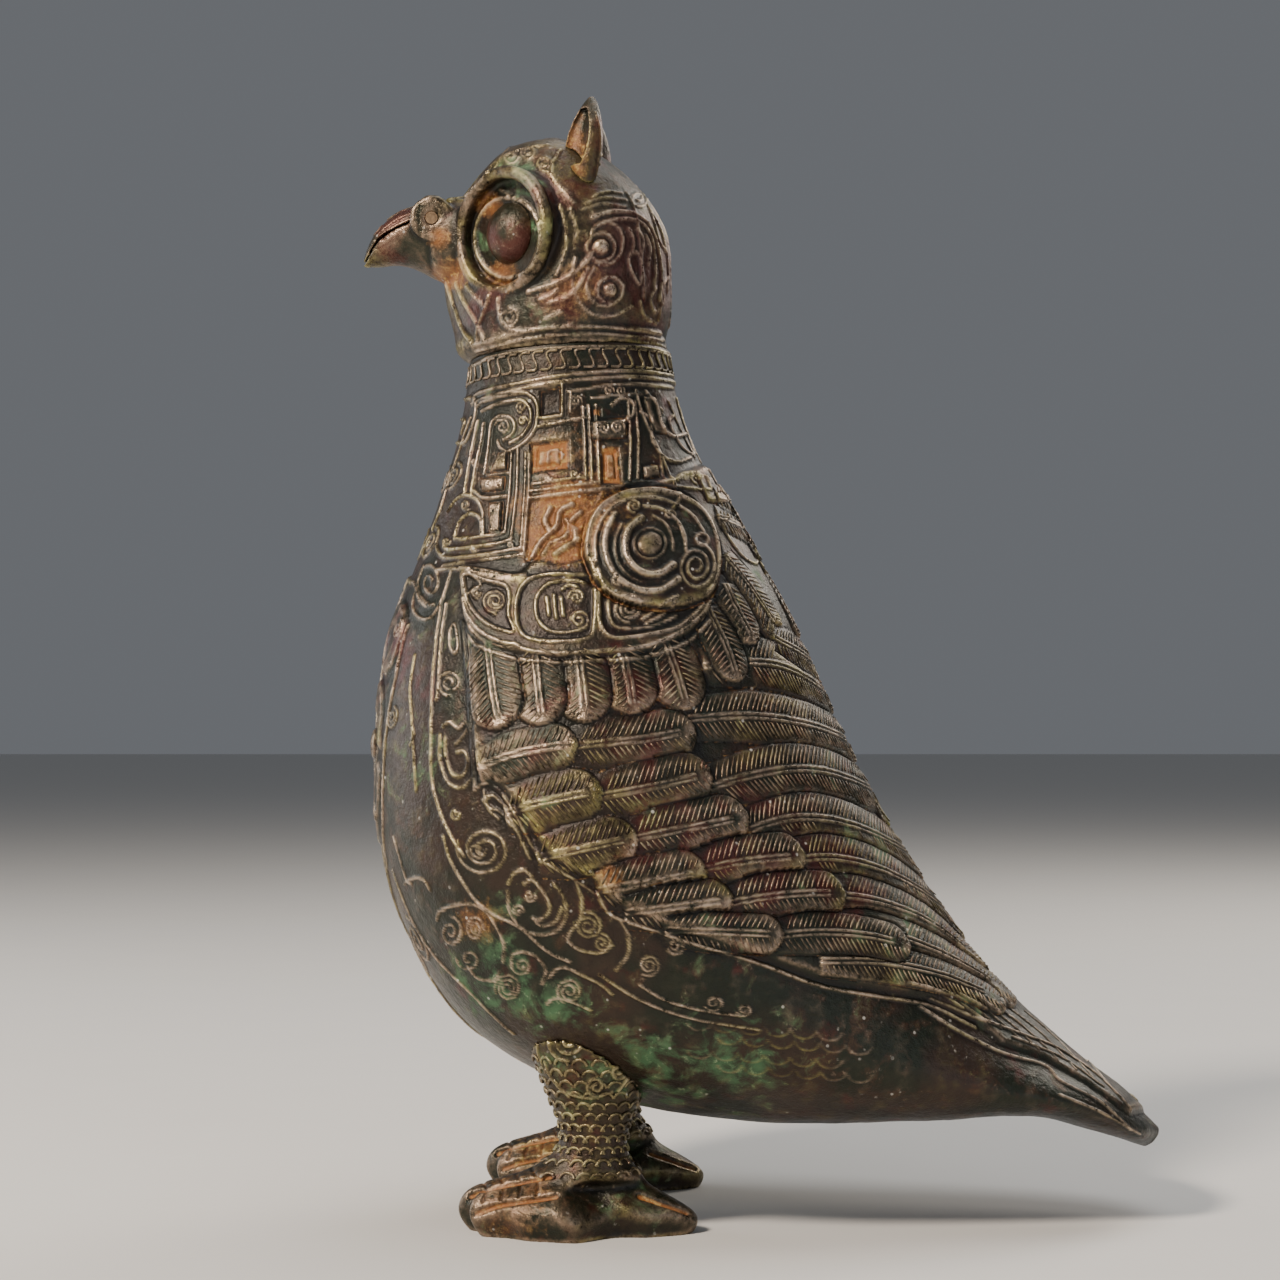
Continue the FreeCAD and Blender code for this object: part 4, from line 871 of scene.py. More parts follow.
# Patches of patina as the photograph shows them: where, how wide in pixels, and how strong
patina = {
    "green": [
        ((500, 980), 70, 0.8), ((560, 1010), 60, 0.7), ((820, 770), 30, 0.55), ((860, 850), 60, 0.5),
        ((470, 640), 70, 0.4), ((730, 1050), 90, 0.7), ((500, 420), 50, 0.35), ((650, 1070), 60, 0.8),
        ((745, 590), 40, 0.4), ((430, 760), 60, 0.45), ((720, 940), 60, 0.4), ((500, 900), 40, 0.5),
        ((980, 1010), 60, 0.3), ((560, 790), 40, 0.35), ((900, 940), 60, 0.35),
    ],
    "red": [
        ((620, 700), 90, 0.7), ((760, 860), 110, 0.6), ((640, 840), 90, 0.6), ((850, 900), 70, 0.5),
        ((400, 660), 70, 0.6), ((660, 440), 60, 0.4), ((560, 730), 60, 0.4), ((700, 960), 60, 0.4),
    ],
    "earth": [
        ((560, 520), 70, 0.85), ((600, 500), 60, 0.6), ((610, 880), 24, 0.8), ((480, 920), 40, 0.6),
        ((560, 455), 60, 0.5), ((620, 430), 60, 0.3), ((760, 700), 60, 0.3), ((690, 480), 40, 0.4),
        ((500, 600), 50, 0.3), ((990, 960), 60, 0.3), ((560, 860), 50, 0.3),
    ],
}
patinaShare = 0.8
for kind, places in patina.items():
    body.tints([(kind, *place) for place in places], patinaShare)
print("flank and breast relief")


# Materials
def linear(code):
    # colour from its sRGB hex value
    parts = [int(code[k:k + 2], 16) / 255 for k in (0, 2, 4)]
    return tuple(p / 12.92 if p <= 0.04045 else ((p + 0.055) / 1.055) ** 2.4 for p in parts) + (1.0,)


def addNode(tree, kind, settings=None, *inputs):
    # one node with its settings; an input takes a plain value or another node's output
    node = tree.nodes.new(kind)
    for name, value in (settings or {}).items():
        setattr(node, name, value)
    for given in inputs:
        for name, value in (given or {}).items():
            if isinstance(value, bpy.types.NodeSocket):
                tree.links.new(value, node.inputs[name])
            else:
                node.inputs[name].default_value = value
    return node


# What a step of a material does: the node, its settings, the inputs in order, and the output used
nodeWork = {
    "cloud": ("ShaderNodeTexNoise", {}, ("Scale", "Detail", "Roughness", "Distortion", "Vector"), 0),
    "range": (
        "ShaderNodeMapRange", {"clamp": True, "interpolation_type": "SMOOTHSTEP"},
        ("Value", "From Min", "From Max"), 0,
    ),
    "mix": ("ShaderNodeMix", {"data_type": "RGBA"}, (0, 6, 7), 2),
    "bump": ("ShaderNodeBump", {}, ("Height", "Strength", "Distance", "Normal"), 0),
    "sum": ("ShaderNodeMath", {"operation": "ADD"}, (0, 1), 0),
    "product": ("ShaderNodeMath", {"operation": "MULTIPLY"}, (0, 1), 0),
    "difference": ("ShaderNodeMath", {"operation": "SUBTRACT"}, (0, 1), 0),
    "larger": ("ShaderNodeMath", {"operation": "MAXIMUM"}, (0, 1), 0),
    "cappedSum": ("ShaderNodeMath", {"operation": "ADD", "use_clamp": True}, (0, 1), 0),
    "cappedDifference": ("ShaderNodeMath", {"operation": "SUBTRACT", "use_clamp": True}, (0, 1), 0),
}


def newMaterial(name):
    made = bpy.data.materials.new(name)
    made.use_nodes = True
    tree = made.node_tree
    tree.nodes.clear()
    return made, tree, {"place": addNode(tree, "ShaderNodeTexCoord").outputs["Object"]}


def workOut(tree, values, steps):
    # takes the steps of a material in turn: a name, what is done, and what goes in, which is a plain
    # value or the name of an earlier one. A cloud's first value is its grain in millimetres.
    for name, work, *given in steps:
        kind, settings, sockets, result = nodeWork[work]
        given = [values[item] if isinstance(item, str) else item for item in given]
        if work == "cloud":
            given[0] = 1 / (given[0] * metre)
        values[name] = addNode(tree, kind, settings, dict(zip(sockets, given))).outputs[result]


def finishMaterial(tree, plain, links):
    shader = addNode(tree, "ShaderNodeBsdfPrincipled", None, plain, links)
    addNode(tree, "ShaderNodeOutputMaterial", None, {"Surface": shader.outputs[0]})


bronzeSkin = {
    "tones": {
        "ground": "33271e",
        "dark": "120e0b",
        "greenBlack": "1e2317",
        "warm": "4a2f20",
        # pale tones of rubbed metal, partly a painted highlight
        "rubbedAndHighlightBrown": "b39b84",
        "rubbedAndHighlightGreen": "a59c62",
        # the painted highlight on the brightest crests
        "paintedCrestHighlight": "e0cbb2",
        "ochre": "93591f",
        "paleOchre": "b59a58",
        "malachite": "3d6a44",
        "paleMalachite": "74a37c",
        "cuprite": "4d1a17",
        "lime": "d9d6cc",
    },
    "broad": 26,  # millimetres: wide changes of tone, then clouds of corrosion, red patches and grains
    "middle": 7,
    "redPatch": 9,
    "fine": 1.6,
    "pit": 0.55,  # real pits are finer; drawn as coarse as they need to show
    "speckPitch": 3.2,
    "roughness": 0.37,
    "lumps": (0.75, 0.0004),  # strength, and depth in metres
    "pits": (0.6, 0.00016),
}


def castBronze(name, skin):
    # Cast tin bronze, long buried: a dark brown to green-black skin, smooth and half glossy on the
    # rubbed ridges, which carry a painted highlight, matt with ochre earth, malachite green and cuprite red in
    # the hollows, which are also darkened as painted shade
    made, tree, values = newMaterial(name)
    values.update({label: linear(code) for label, code in skin["tones"].items()})
    # the first paint holds worn metal with a painted highlight, painted shade in the hollows, and earth; the
    # second holds malachite, cuprite and a painted highlight on crests
    for label, channels in (("finishAndPaintedLight", ("wornAndHighlight", "paintedShade", "earth")), ("patina", ("green", "red", "bright"))):
        paint = addNode(tree, "ShaderNodeAttribute", {"attribute_name": label})
        parts = addNode(tree, "ShaderNodeSeparateColor", None, {"Color": paint.outputs["Color"]})
        values.update(zip(channels, parts.outputs))
    speckSize = {"Scale": 1 / (skin["speckPitch"] * metre), "Randomness": 1.0}
    specks = addNode(tree, "ShaderNodeTexVoronoi", None, speckSize, {"Vector": values["place"]})
    values["speckDistance"] = specks.outputs["Distance"]
    workOut(tree, values, [
        ("broad", "cloud", skin["broad"], 3, 0.6, 0.0, "place"),
        ("middle", "cloud", skin["middle"], 5, 0.65, 0.4, "place"),
        ("fine", "cloud", skin["fine"], 4, 0.7, 0.0, "place"),
        ("pit", "cloud", skin["pit"], 2, 0.6, 0.0, "place"),
        ("redCloud", "cloud", skin["redPatch"], 4, 0.6, 0.0, "place"),
        # the brown and green-black ground
        ("groundShare", "range", "broad", 0.42, 0.6),
        ("colour", "mix", "groundShare", "greenBlack", "ground"),
        ("warmShare", "range", "middle", 0.5, 0.72),
        ("colour", "mix", "warmShare", "colour", "warm"),
        ("stainRange", "range", "fine", 0.5, 0.75),
        ("stainShare", "product", "stainRange", 0.55),
        ("colour", "mix", "stainShare", "colour", "dark"),
        # malachite and cuprite, each where the painted patches and the clouds meet
        ("greenPull", "product", "green", 0.32),
        ("greenSum", "sum", "middle", "greenPull"),
        ("greenRange", "range", "greenSum", 0.6, 0.82),
        ("greenShare", "product", "greenRange", 0.85),
        ("colour", "mix", "greenShare", "colour", "malachite"),
        ("paleRange", "range", "fine", 0.55, 0.75),
        ("paleShare", "product", "greenShare", "paleRange"),
        ("colour", "mix", "paleShare", "colour", "paleMalachite"),
        ("redPull", "product", "red", 0.3),
        ("redSum", "sum", "redCloud", "redPull"),
        ("redRange", "range", "redSum", 0.58, 0.78),
        ("redShare", "product", "redRange", 0.75),
        ("colour", "mix", "redShare", "colour", "cuprite"),
        # painted shade in the hollows, and earth left in them
        ("paintedShadeShare", "product", "paintedShade", 0.75),
        ("colour", "mix", "paintedShadeShare", "colour", "dark"),
        ("brokenMiddle", "product", "middle", 0.6),
        ("brokenFine", "product", "fine", 0.45),
        ("broken", "sum", "brokenMiddle", "brokenFine"),
        ("earthPull", "product", "earth", 0.75),
        ("earthSum", "sum", "earthPull", "broken"),
        ("earthRange", "range", "earthSum", 0.72, 1.2),
        ("earthShare", "product", "earthRange", 0.85),
        ("colour", "mix", "earthShare", "colour", "ochre"),
        ("dryRange", "range", "fine", 0.5, 0.7),
        ("dryShare", "product", "earthShare", "dryRange"),
        ("colour", "mix", "dryShare", "colour", "paleOchre"),
        # metal rubbed bare on the crests, which also stands in as a painted highlight, and a scatter of rubbed
        # grains
        ("wornAndHighlightFine", "product", "fine", 0.7),
        ("wornAndHighlightMiddle", "product", "middle", 0.5),
        ("wornAndHighlightSum", "sum", "wornAndHighlightFine", "wornAndHighlightMiddle"),
        ("wornAndHighlightNoise", "range", "wornAndHighlightSum", 0.4, 0.75),
        ("grainFine", "range", "fine", 0.56, 0.72),
        ("grainMiddle", "range", "middle", 0.46, 0.66),
        ("grains", "product", "grainFine", "grainMiddle"),
        ("grainShare", "product", "grains", 0.45),
        ("rubbedAndHighlight", "cappedSum", "wornAndHighlight", "grainShare"),
        ("rubbedAndHighlightNoise", "product", "rubbedAndHighlight", "wornAndHighlightNoise"),
        ("wornAndHighlightShare", "product", "rubbedAndHighlightNoise", 0.8),
        ("rubbedAndHighlightRange", "range", "broad", 0.46, 0.6),
        ("rubbedAndHighlightTone", "mix", "rubbedAndHighlightRange", "rubbedAndHighlightBrown", "rubbedAndHighlightGreen"),
        ("colour", "mix", "wornAndHighlightShare", "colour", "rubbedAndHighlightTone"),
        # a paler painted highlight along the brightest crests
        ("crestHighlightMask", "product", "bright", "wornAndHighlight"),
        ("crestHighlightNoise", "product", "wornAndHighlightNoise", 0.7),
        ("crestHighlightShare", "product", "crestHighlightMask", "crestHighlightNoise"),
        ("colour", "mix", "crestHighlightShare", "colour", "paintedCrestHighlight"),
        # pale specks of lime
        ("speckSpots", "range", "speckDistance", 0.16, 0.08),
        ("speckMiddle", "range", "middle", 0.5, 0.62),
        ("speckShare", "product", "speckSpots", "speckMiddle"),
        ("speckPaint", "product", "speckShare", 0.5),
        ("colour", "mix", "speckPaint", "colour", "lime"),
        # crusts are matt and less metallic; rubbed crests are the glossiest
        ("greenEarth", "larger", "greenShare", "earthShare"),
        ("crust", "larger", "greenEarth", "speckShare"),
        ("bareGain", "product", "wornAndHighlight", 0.35),
        ("bare", "sum", 0.5, "bareGain"),
        ("crustLoss", "product", "crust", 0.5),
        ("metal", "cappedDifference", "bare", "crustLoss"),
        ("crustRough", "product", "crust", 0.3),
        ("roughCrust", "sum", skin["roughness"], "crustRough"),
        ("fineSwing", "difference", "fine", 0.5),
        ("fineRough", "product", "fineSwing", 0.35),
        ("roughSum", "sum", "roughCrust", "fineRough"),
        ("wornGloss", "product", "wornAndHighlight", 0.08),
        ("rough", "cappedDifference", "roughSum", "wornGloss"),
        ("lumps", "bump", "fine", *skin["lumps"]),
        ("normal", "bump", "pit", *skin["pits"], "lumps"),
    ])
    finishMaterial(tree, None, {
        "Base Color": values["colour"], "Metallic": values["metal"],
        "Roughness": values["rough"], "Normal": values["normal"],
    })
    return made


bronze = castBronze("buried_cast_bronze", bronzeSkin)
print("materials")


# Turning skins into pieces. The body's skin is cut into closed lengths, to keep each one light
def blurred(grid, reach):
    # box blur of a grid, along both of its directions
    for axis in (0, 1):
        pad = [(0, 0), (0, 0)]
        pad[axis] = (reach + 1, reach)
        total = np.cumsum(np.pad(grid, pad, mode="reflect"), axis=axis)
        size = grid.shape[axis]
        span = 2 * reach + 1
        high = np.take(total, range(span, span + size), axis=axis)
        low = np.take(total, range(0, size), axis=axis)
        grid = (high - low) / span
    return grid


def unevenness(points, size=0.12):
    # the slight waviness of a casting, in millimetres
    widePitch, closePitch, closeShare = 5.0, 1.7, 0.45
    wide = np.array([noise.noise(p) for p in (points / widePitch).tolist()])
    close = np.array([noise.noise(p) for p in (points / closePitch).tolist()])
    return size * wide + closeShare * size * close


def bothSides(half):
    # a half grid and its mirror image, as closed rings
    mirrored = half[:, -2:0:-1].copy()
    if half.ndim == 3:
        mirrored[..., 1] *= -1
    return np.concatenate((half, mirrored), axis=1)


def closedQuads(rows, count):
    # faces between rows of points that each run once round
    at = np.arange(count)
    following = (at + 1) % count
    starts = np.arange(rows - 1)[:, None] * count
    return np.stack((starts + at, starts + count + at, starts + count + following, starts + following), -1)


def linked(name, mesh):
    made = bpy.data.objects.new(name, mesh)
    bpy.context.scene.collection.objects.link(made)
    return made


def paintPoints(mesh, label, values):
    # one colour for each point, for the bronze to read
    layer = mesh.attributes.new(label, "FLOAT_COLOR", "POINT")
    full = np.concatenate((values, np.ones((len(values), 1))), 1)
    layer.data.foreach_set("color", full.astype(np.float32).ravel())


def finishMesh(name, points, faces, smoothFaces, loopNormals, colours, bodyName):
    mesh = bpy.data.meshes.new(name)
    mesh.from_pydata((points * metre).tolist(), [], faces)
    flags = np.zeros(len(faces), bool)
    flags[:smoothFaces] = True
    mesh.polygons.foreach_set("use_smooth", flags)
    for label, values in colours.items():
        paintPoints(mesh, label, values)
    if loopNormals is not None:
        full = np.zeros((len(mesh.loops), 3))
        full[:len(loopNormals)] = loopNormals
        mesh.normals_split_custom_set(full.tolist())
    mesh.materials.append(bronze)
    piece = linked(name, mesh)
    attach(piece, bodyName)
    return piece


bodyFinish = {
    "blur": 6,  # points either way; what stands over the blurred skin is worn and takes a painted highlight, what lies under it takes painted shade
    "wornAndHighlight": 0.33,  # millimetres over it for a fully rubbed crest with its full painted highlight
    # millimetres under it for full painted shade
    "paintedShade": 0.25,
}
halfNormals = body.normals.reshape(bodyRows, bodyColumns, 3)
halfNormals[:, (0, -1), 1] = 0
ringBase, ringNormals = bothSides(bodyGrid), bothSides(halfNormals)
ringHeight = bothSides(body.heights().reshape(bodyRows, bodyColumns))
ringCount = ringBase.shape[1]
ringHeight = ringHeight + unevenness(ringBase.reshape(-1, 3)).reshape(ringHeight.shape)
ringHeight[:2] = 0
outer = ringBase + ringNormals * ringHeight[..., None]
margin = 8
wrapped = np.concatenate((ringHeight[:, -margin:], ringHeight, ringHeight[:, :margin]), 1)
detail = ringHeight - blurred(wrapped, bodyFinish["blur"])[:, margin:-margin]
# worn metal with a painted highlight over the blurred skin, painted shade under it
wornAndHighlightSkin, paintedShadeSkin = np.clip(detail / bodyFinish["wornAndHighlight"], 0, 1), np.clip(-detail / bodyFinish["paintedShade"], 0, 1)
fields = [bothSides(f.reshape(bodyRows, -1)) for f in (body.earth, body.green, body.red, body.bright)]
bodyPaint = {
    "finishAndPaintedLight": np.stack((wornAndHighlightSkin, paintedShadeSkin, fields[0]), -1),
    "patina": np.stack(fields[1:], -1),
}


def ringNormalsOf(grid):
    down = np.gradient(grid, axis=0)
    along = np.roll(grid, -1, 1) - np.roll(grid, 1, 1)
    normals = np.cross(down, along)
    return normals / np.maximum(np.linalg.norm(normals, axis=2, keepdims=True), 1e-12)


def innerWall(base, normals):
    # the bore of the mouth at the top, an even wall below it
    away = base - mouthCentre
    along, across, up = away @ mouthAlong, away[..., 1], away @ mouthUp
    turn = np.arctan2(across / halfRim, along / reachRim)
    reachBore, halfBore = bodyForm["bore"]
    bore = mouthCentre + np.cos(turn)[..., None] * reachBore * mouthAlong + up[..., None] * mouthUp
    bore[..., 1] += halfBore * np.sin(turn)
    wall = base - normals * bodyForm["wall"]
    return np.where(up[..., None] > -bodyForm["boreDepth"], bore, wall)


outerNormals = ringNormalsOf(outer)
inner = innerWall(ringBase, ringNormals)
step = bodyForm["innerStep"]


def shellSlab(name, first, last):
    # one closed length of the skin: fine outside, plain inside, and a flat border at each end
    count = ringCount
    innerCount = count // step
    pickRows = sorted(set(range(first, last, step)) | {last})
    outside = outer[first:last + 1].reshape(-1, 3)
    within = inner[pickRows][:, ::step].reshape(-1, 3)
    quads = closedQuads(last - first + 1, count)
    base = len(outside)
    insideQuads = base + np.roll(closedQuads(len(pickRows), innerCount)[..., ::-1], 1, -1)
    faces = quads.reshape(-1, 4).tolist()
    smoothFaces = len(faces)
    faces += insideQuads.reshape(-1, 4).tolist()
    lastOuter, lastInner = base - count, base + (len(pickRows) - 1) * innerCount
    for k in range(innerCount):
        edge = [(k * step + j) % count for j in range(step + 1)]
        nextInner = (k + 1) % innerCount
        faces.append(edge + [base + nextInner, base + k])
        faces.append([lastOuter + e for e in reversed(edge)] + [lastInner + k, lastInner + nextInner])
    loopNormals = outerNormals[first:last + 1].reshape(-1, 3)[quads.reshape(-1)]
    plain = np.zeros((len(within), 3))
    colours = {}
    for label, values in bodyPaint.items():
        colours[label] = np.concatenate((values[first:last + 1].reshape(-1, 3), plain))
    return finishMesh(name, np.concatenate((outside, within)), faces, smoothFaces, loopNormals, colours, "vessel")


def tailSlab(name, first):
    # the solid tail, closed by a fan inside and a rounded tip outside
    rounding = [math.radians(a) for a in (18, 36, 54, 72)]
    outward, roundness, tip = np.array((0.87, 0, -0.5)), 1.1, 1.15  # the tip's way out, and millimetres along it
    centre = outer[-1].mean(0)
    tipRows = [
        centre + (outer[-1] - centre) * math.cos(a) + outward * roundness * math.sin(a) for a in rounding
    ]
    grid = np.concatenate((outer[first:], np.array(tipRows)))
    normals = ringNormalsOf(grid)
    normals[: len(outer) - first - 1] = outerNormals[first:-1]
    rows, count = grid.shape[:2]
    quads = closedQuads(rows, count)
    faces = quads.reshape(-1, 4).tolist()
    smoothFaces = len(faces)
    top, bottom, lastRow = rows * count, rows * count + 1, (rows - 1) * count
    for k in range(count):
        after = (k + 1) % count
        faces.append([k, after, top])
        faces.append([lastRow + after, lastRow + k, bottom])
    points = np.concatenate((grid.reshape(-1, 3), [outer[first].mean(0), centre + outward * tip]))
    loopNormals = normals.reshape(-1, 3)[quads.reshape(-1)]
    colours = {}
    for label, values in bodyPaint.items():
        extra = np.repeat(values[-1:].reshape(1, count, 3), len(rounding), 0)
        whole = np.concatenate((values[first:], extra)).reshape(-1, 3)
        colours[label] = np.concatenate((whole, np.zeros((2, 3))))
    return finishMesh(name, points, faces, smoothFaces, loopNormals, colours, "vessel")


slabNames = ["rim_and_neck", "shoulders", "upper_wings", "middle_wings", "lower_wings", "rump"]
cuts = [round(bodyRows * bodyForm["solidFrom"] * k / len(slabNames)) for k in range(len(slabNames) + 1)]
bodyPieces = [shellSlab(name, cuts[k], cuts[k + 1]) for k, name in enumerate(slabNames)]
bodyPieces.append(tailSlab("tail", cuts[-1]))
for piece in bodyPieces:
    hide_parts("vessel_body")
print("body pieces", [len(p.data.polygons) for p in bodyPieces])


# The smaller castings keep the solids' own forms: each is recast as one even skin and takes relief
def recast(node, voxel):
    work = bmesh.new()
    work.from_mesh(cadNodes[node].data)
    bmesh.ops.remove_doubles(work, verts=work.verts, dist=1e-6)
    rough = bpy.data.meshes.new(node + "_rough")
    work.to_mesh(rough)
    work.free()
    holder = linked(node + "_rough", rough)
    even = holder.modifiers.new("even", "REMESH")
    even.mode = "VOXEL"
    even.voxel_size = voxel * metre
    mesh = bpy.data.meshes.new_from_object(holder.evaluated_get(bpy.context.evaluated_depsgraph_get()))
    points = np.zeros(len(mesh.vertices) * 3)
    mesh.vertices.foreach_get("co", points)
    faces = np.zeros(len(mesh.loops), np.int64)
    mesh.loops.foreach_get("vertex_index", faces)
    bpy.data.objects.remove(holder)
    bpy.data.meshes.remove(rough)
    bpy.data.meshes.remove(mesh)
    return points.reshape(-1, 3) / metre, faces.reshape(-1, 4)


def relaxed(values, faces, rounds):
    # averages values over neighbouring points, a number of times
    ends = np.concatenate([np.stack((faces[:, k], faces[:, (k + 1) % 4]), -1) for k in range(4)])
    here, there = ends[:, 0], ends[:, 1]
    count = np.bincount(here, minlength=len(values)).astype(float)
    flat = values.reshape(len(values), -1)
    for _ in range(rounds):
        sums = [np.bincount(here, flat[there, k], len(flat)) for k in range(flat.shape[1])]
        flat = np.stack([total / count for total in sums], -1)
    return flat.reshape(values.shape)


castFinish = {
    "blur": 8,  # rounds of averaging under the relief, and under the form's own edges
    "formBlur": 6,
    "wornAndHighlight": 0.38,  # millimetres over the average for a fully rubbed crest with its painted highlight, and the same for an outer edge
    "edge": 0.15,
    # millimetres under the average for full painted shade in a hollow, and the same for an inner corner
    "paintedShade": 0.2,
    "corner": 0.12,
}


def cast(name, skin, bodyName, replaced, mirrored=False, wave=0.1):
    # turns a recast skin with its relief into a piece
    height = skin.heights() + unevenness(skin.points, wave)
    points = skin.points + skin.normals * height[:, None]
    faces = skin.faces
    if mirrored:
        points = points * (1, -1, 1)
        faces = faces[:, ::-1]
    # crests and outer edges are worn and take a painted highlight; hollows and inner corners take painted shade
    detail = height - relaxed(height, skin.faces, castFinish["blur"])
    away = relaxed(skin.points, skin.faces, castFinish["formBlur"]) - skin.points
    curve = (away * skin.normals).sum(1)
    wornAndHighlight = np.clip(detail / castFinish["wornAndHighlight"], 0, 1) + np.clip(-curve / castFinish["edge"], 0, 0.7)
    paintedShade = np.clip(-detail / castFinish["paintedShade"], 0, 1) + np.clip(curve / castFinish["corner"], 0, 0.8)
    colours = {
        "finishAndPaintedLight": np.stack((np.clip(wornAndHighlight, 0, 1), np.clip(paintedShade, 0, 1), skin.earth), -1),
        "patina": np.stack((skin.green, skin.red, skin.bright), -1),
    }
    piece = finishMesh(name, points, faces.tolist(), len(faces), None, colours, bodyName)
    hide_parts(replaced)
    return piece


def castPair(part, ending, skin, bodyName, wave=0.1):
    # the left piece and its mirror image
    for label, mirrored in (("left", False), ("right", True)):
        cast(f"{label}_{part}{ending}", skin, bodyName, f"{label}_{part}", mirrored, wave)


# Head: brow curls, cheek fork, arcs and bosses behind the eye, a band along the lip
headRelief = {
    "voxel": 0.53,  # millimetres between the points of the recast skin
    # how strong the painted highlight on the head's lines is
    "lineHighlight": 0.6,
    "spiralCut": (1.1, 0.45, 0.6),
    "dishCut": (1.6, 0.7, 0.5),
    "dropCut": (1.3, 0.5, 0.6),
    # how strong the painted highlight on the bosses is
    "bossHighlight": 0.7,
    "ringCut": (1.2, 0.5, 0.7),
    "hiddenCut": (1.3, 0.45, 0.0),
    "lines": [
        (1.6, 0.6, [(489, 296), (484, 312), (478, 328), (477, 343)]),
        (1.4, 0.55, [(498, 298), (499, 310), (502, 322), (512, 330), (520, 331)]),
        (1.6, 0.6, [(474, 345), (500, 338), (522, 332), (560, 327), (600, 327), (640, 330), (660, 334)]),
        (1.3, 0.5, [(476, 351), (500, 345), (522, 340), (560, 335), (600, 334), (640, 337), (664, 341)]),
        (1.8, 0.7, [(447, 284), (455, 308), (463, 330), (474, 346)]),
        (1.6, 0.6, [(456, 284), (464, 302), (476, 322), (484, 340)]),
        (1.3, 0.5, [(466, 286), (476, 298), (484, 306)]),
        (1.5, 0.55, [(528, 292), (548, 286), (568, 277), (586, 262), (594, 250)]),
        (1.3, 0.5, [(540, 299), (550, 296), (558, 290)]),
        (1.3, 0.5, [(545, 319), (553, 316), (562, 311)]),
        (1.2, 0.45, [(556, 330), (563, 328), (572, 323)]),
        (1.4, 0.55, [(548, 303), (566, 298), (580, 284), (588, 268)]),
        (1.3, 0.5, [(590, 242), (594, 229), (606, 222), (618, 227), (623, 240), (619, 256), (609, 264),
                    (596, 262)]),
        (1.5, 0.6, [(592, 218), (610, 212), (632, 213), (648, 224), (657, 245), (661, 275), (659, 300)]),
        (1.2, 0.5, [(600, 224), (620, 219), (640, 222), (651, 237), (655, 262), (654, 290)]),
        (1.2, 0.5, [(629, 229), (634, 240), (632, 252)]),
        (1.2, 0.5, [(637, 228), (643, 240), (641, 256)]),
        (1.2, 0.5, [(646, 236), (650, 248), (648, 264)]),
        (1.3, 0.5, [(594, 268), (587, 282), (590, 298), (603, 306), (618, 300), (624, 286)]),
        (1.2, 0.45, [(576, 258), (572, 280), (578, 300), (592, 314), (612, 316), (632, 306)]),
        (1.3, 0.5, [(650, 210), (661, 232), (667, 262), (667, 292)]),
        (1.2, 0.45, [(656, 288), (650, 299), (655, 312), (663, 302), (662, 290)]),
        (1.2, 0.45, [(640, 300), (644, 316), (656, 324)]),
        (1.1, 0.35, [(583, 209), (603, 204), (626, 207)]),
        (1.1, 0.35, [(586, 203), (604, 198), (626, 200)]),
        (1.1, 0.35, [(592, 197), (606, 192), (622, 193)]),
        (1.3, 0.5, [(560, 150), (552, 166), (556, 182), (571, 196)]),
        (1.2, 0.45, [(548, 172), (560, 188), (574, 203)]),
        (1.3, 0.5, [(466, 196), (482, 180), (496, 162), (520, 150), (548, 145)]),
        (1.2, 0.45, [(560, 205), (566, 225), (566, 250), (556, 276)]),
        (1.1, 0.4, [(571, 208), (577, 228), (576, 248)]),
    ],
    "spirals": [
        ((508, 318), 11, 1.9, 270, 1),
        ((511, 157), 8, 1.4, 0, 1),
        ((529, 152), 8, 1.4, 180, -1),
        ((545, 163), 8, 1.5, 90, 1),
        ((638, 199), 9, 1.4, 0, 1),
        ((583, 236), 6, 1.3, 180, 1),
    ],
    "dish": [((508, 238), 33, 1.22)],
    "drop": [(630, 254), (637, 253), (641, 264), (640, 284), (634, 276), (629, 264)],
    "bosses": [((601, 247), 8, 1.3), ((610, 290), 7, 1.1)],
    "rings": [((601, 247), 14), ((610, 290), 13)],
    "crown": [
        [(0, 262), (0, 246)],
        [(-4, 258), (-9, 255), (-10, 248), (-6, 244), (-3, 247)],
        [(-14, 246), (-18, 240), (-18, 230)],
    ],
    "nape": [
        [(0, 258), (0, 214)],
        [(-4, 246), (-9, 242), (-10, 234), (-5, 231)],
        [(-4, 226), (-9, 222), (-10, 214)],
        [(-15, 244), (-17, 232), (-16, 218)],
    ],
    "patina": [
        ("earth", (490, 205), 20, 0.75), ("earth", (570, 290), 50, 0.55), ("earth", (450, 275), 26, 0.7),
        ("earth", (440, 240), 18, 0.7), ("earth", (505, 275), 26, 0.6), ("green", (520, 180), 36, 0.7),
        ("red", (400, 250), 40, 0.5), ("green", (480, 240), 26, 0.5), ("green", (540, 230), 20, 0.6),
        ("green", (560, 330), 50, 0.5), ("red", (490, 310), 30, 0.8), ("red", (640, 270), 80, 1.0),
        ("red", (560, 180), 50, 0.7), ("red", (570, 300), 40, 0.6),
    ],
}
head = Relief(*recast("lid_head", headRelief["voxel"]), folded=True)
head.cutLines(headRelief["lines"], headRelief["lineHighlight"])
head.spirals(headRelief["spirals"], headRelief["spiralCut"])
head.rings(headRelief["dish"], headRelief["dishCut"])
head.ridge(smooth(headRelief["drop"], True), headRelief["dropCut"])
for place, radius, height in headRelief["bosses"]:
    head.dome(place, radius / pixelsPerMm, height, headRelief["bossHighlight"])
head.rings(headRelief["rings"], headRelief["ringCut"])
head.ridges(headRelief["crown"], headRelief["hiddenCut"], fromFront)
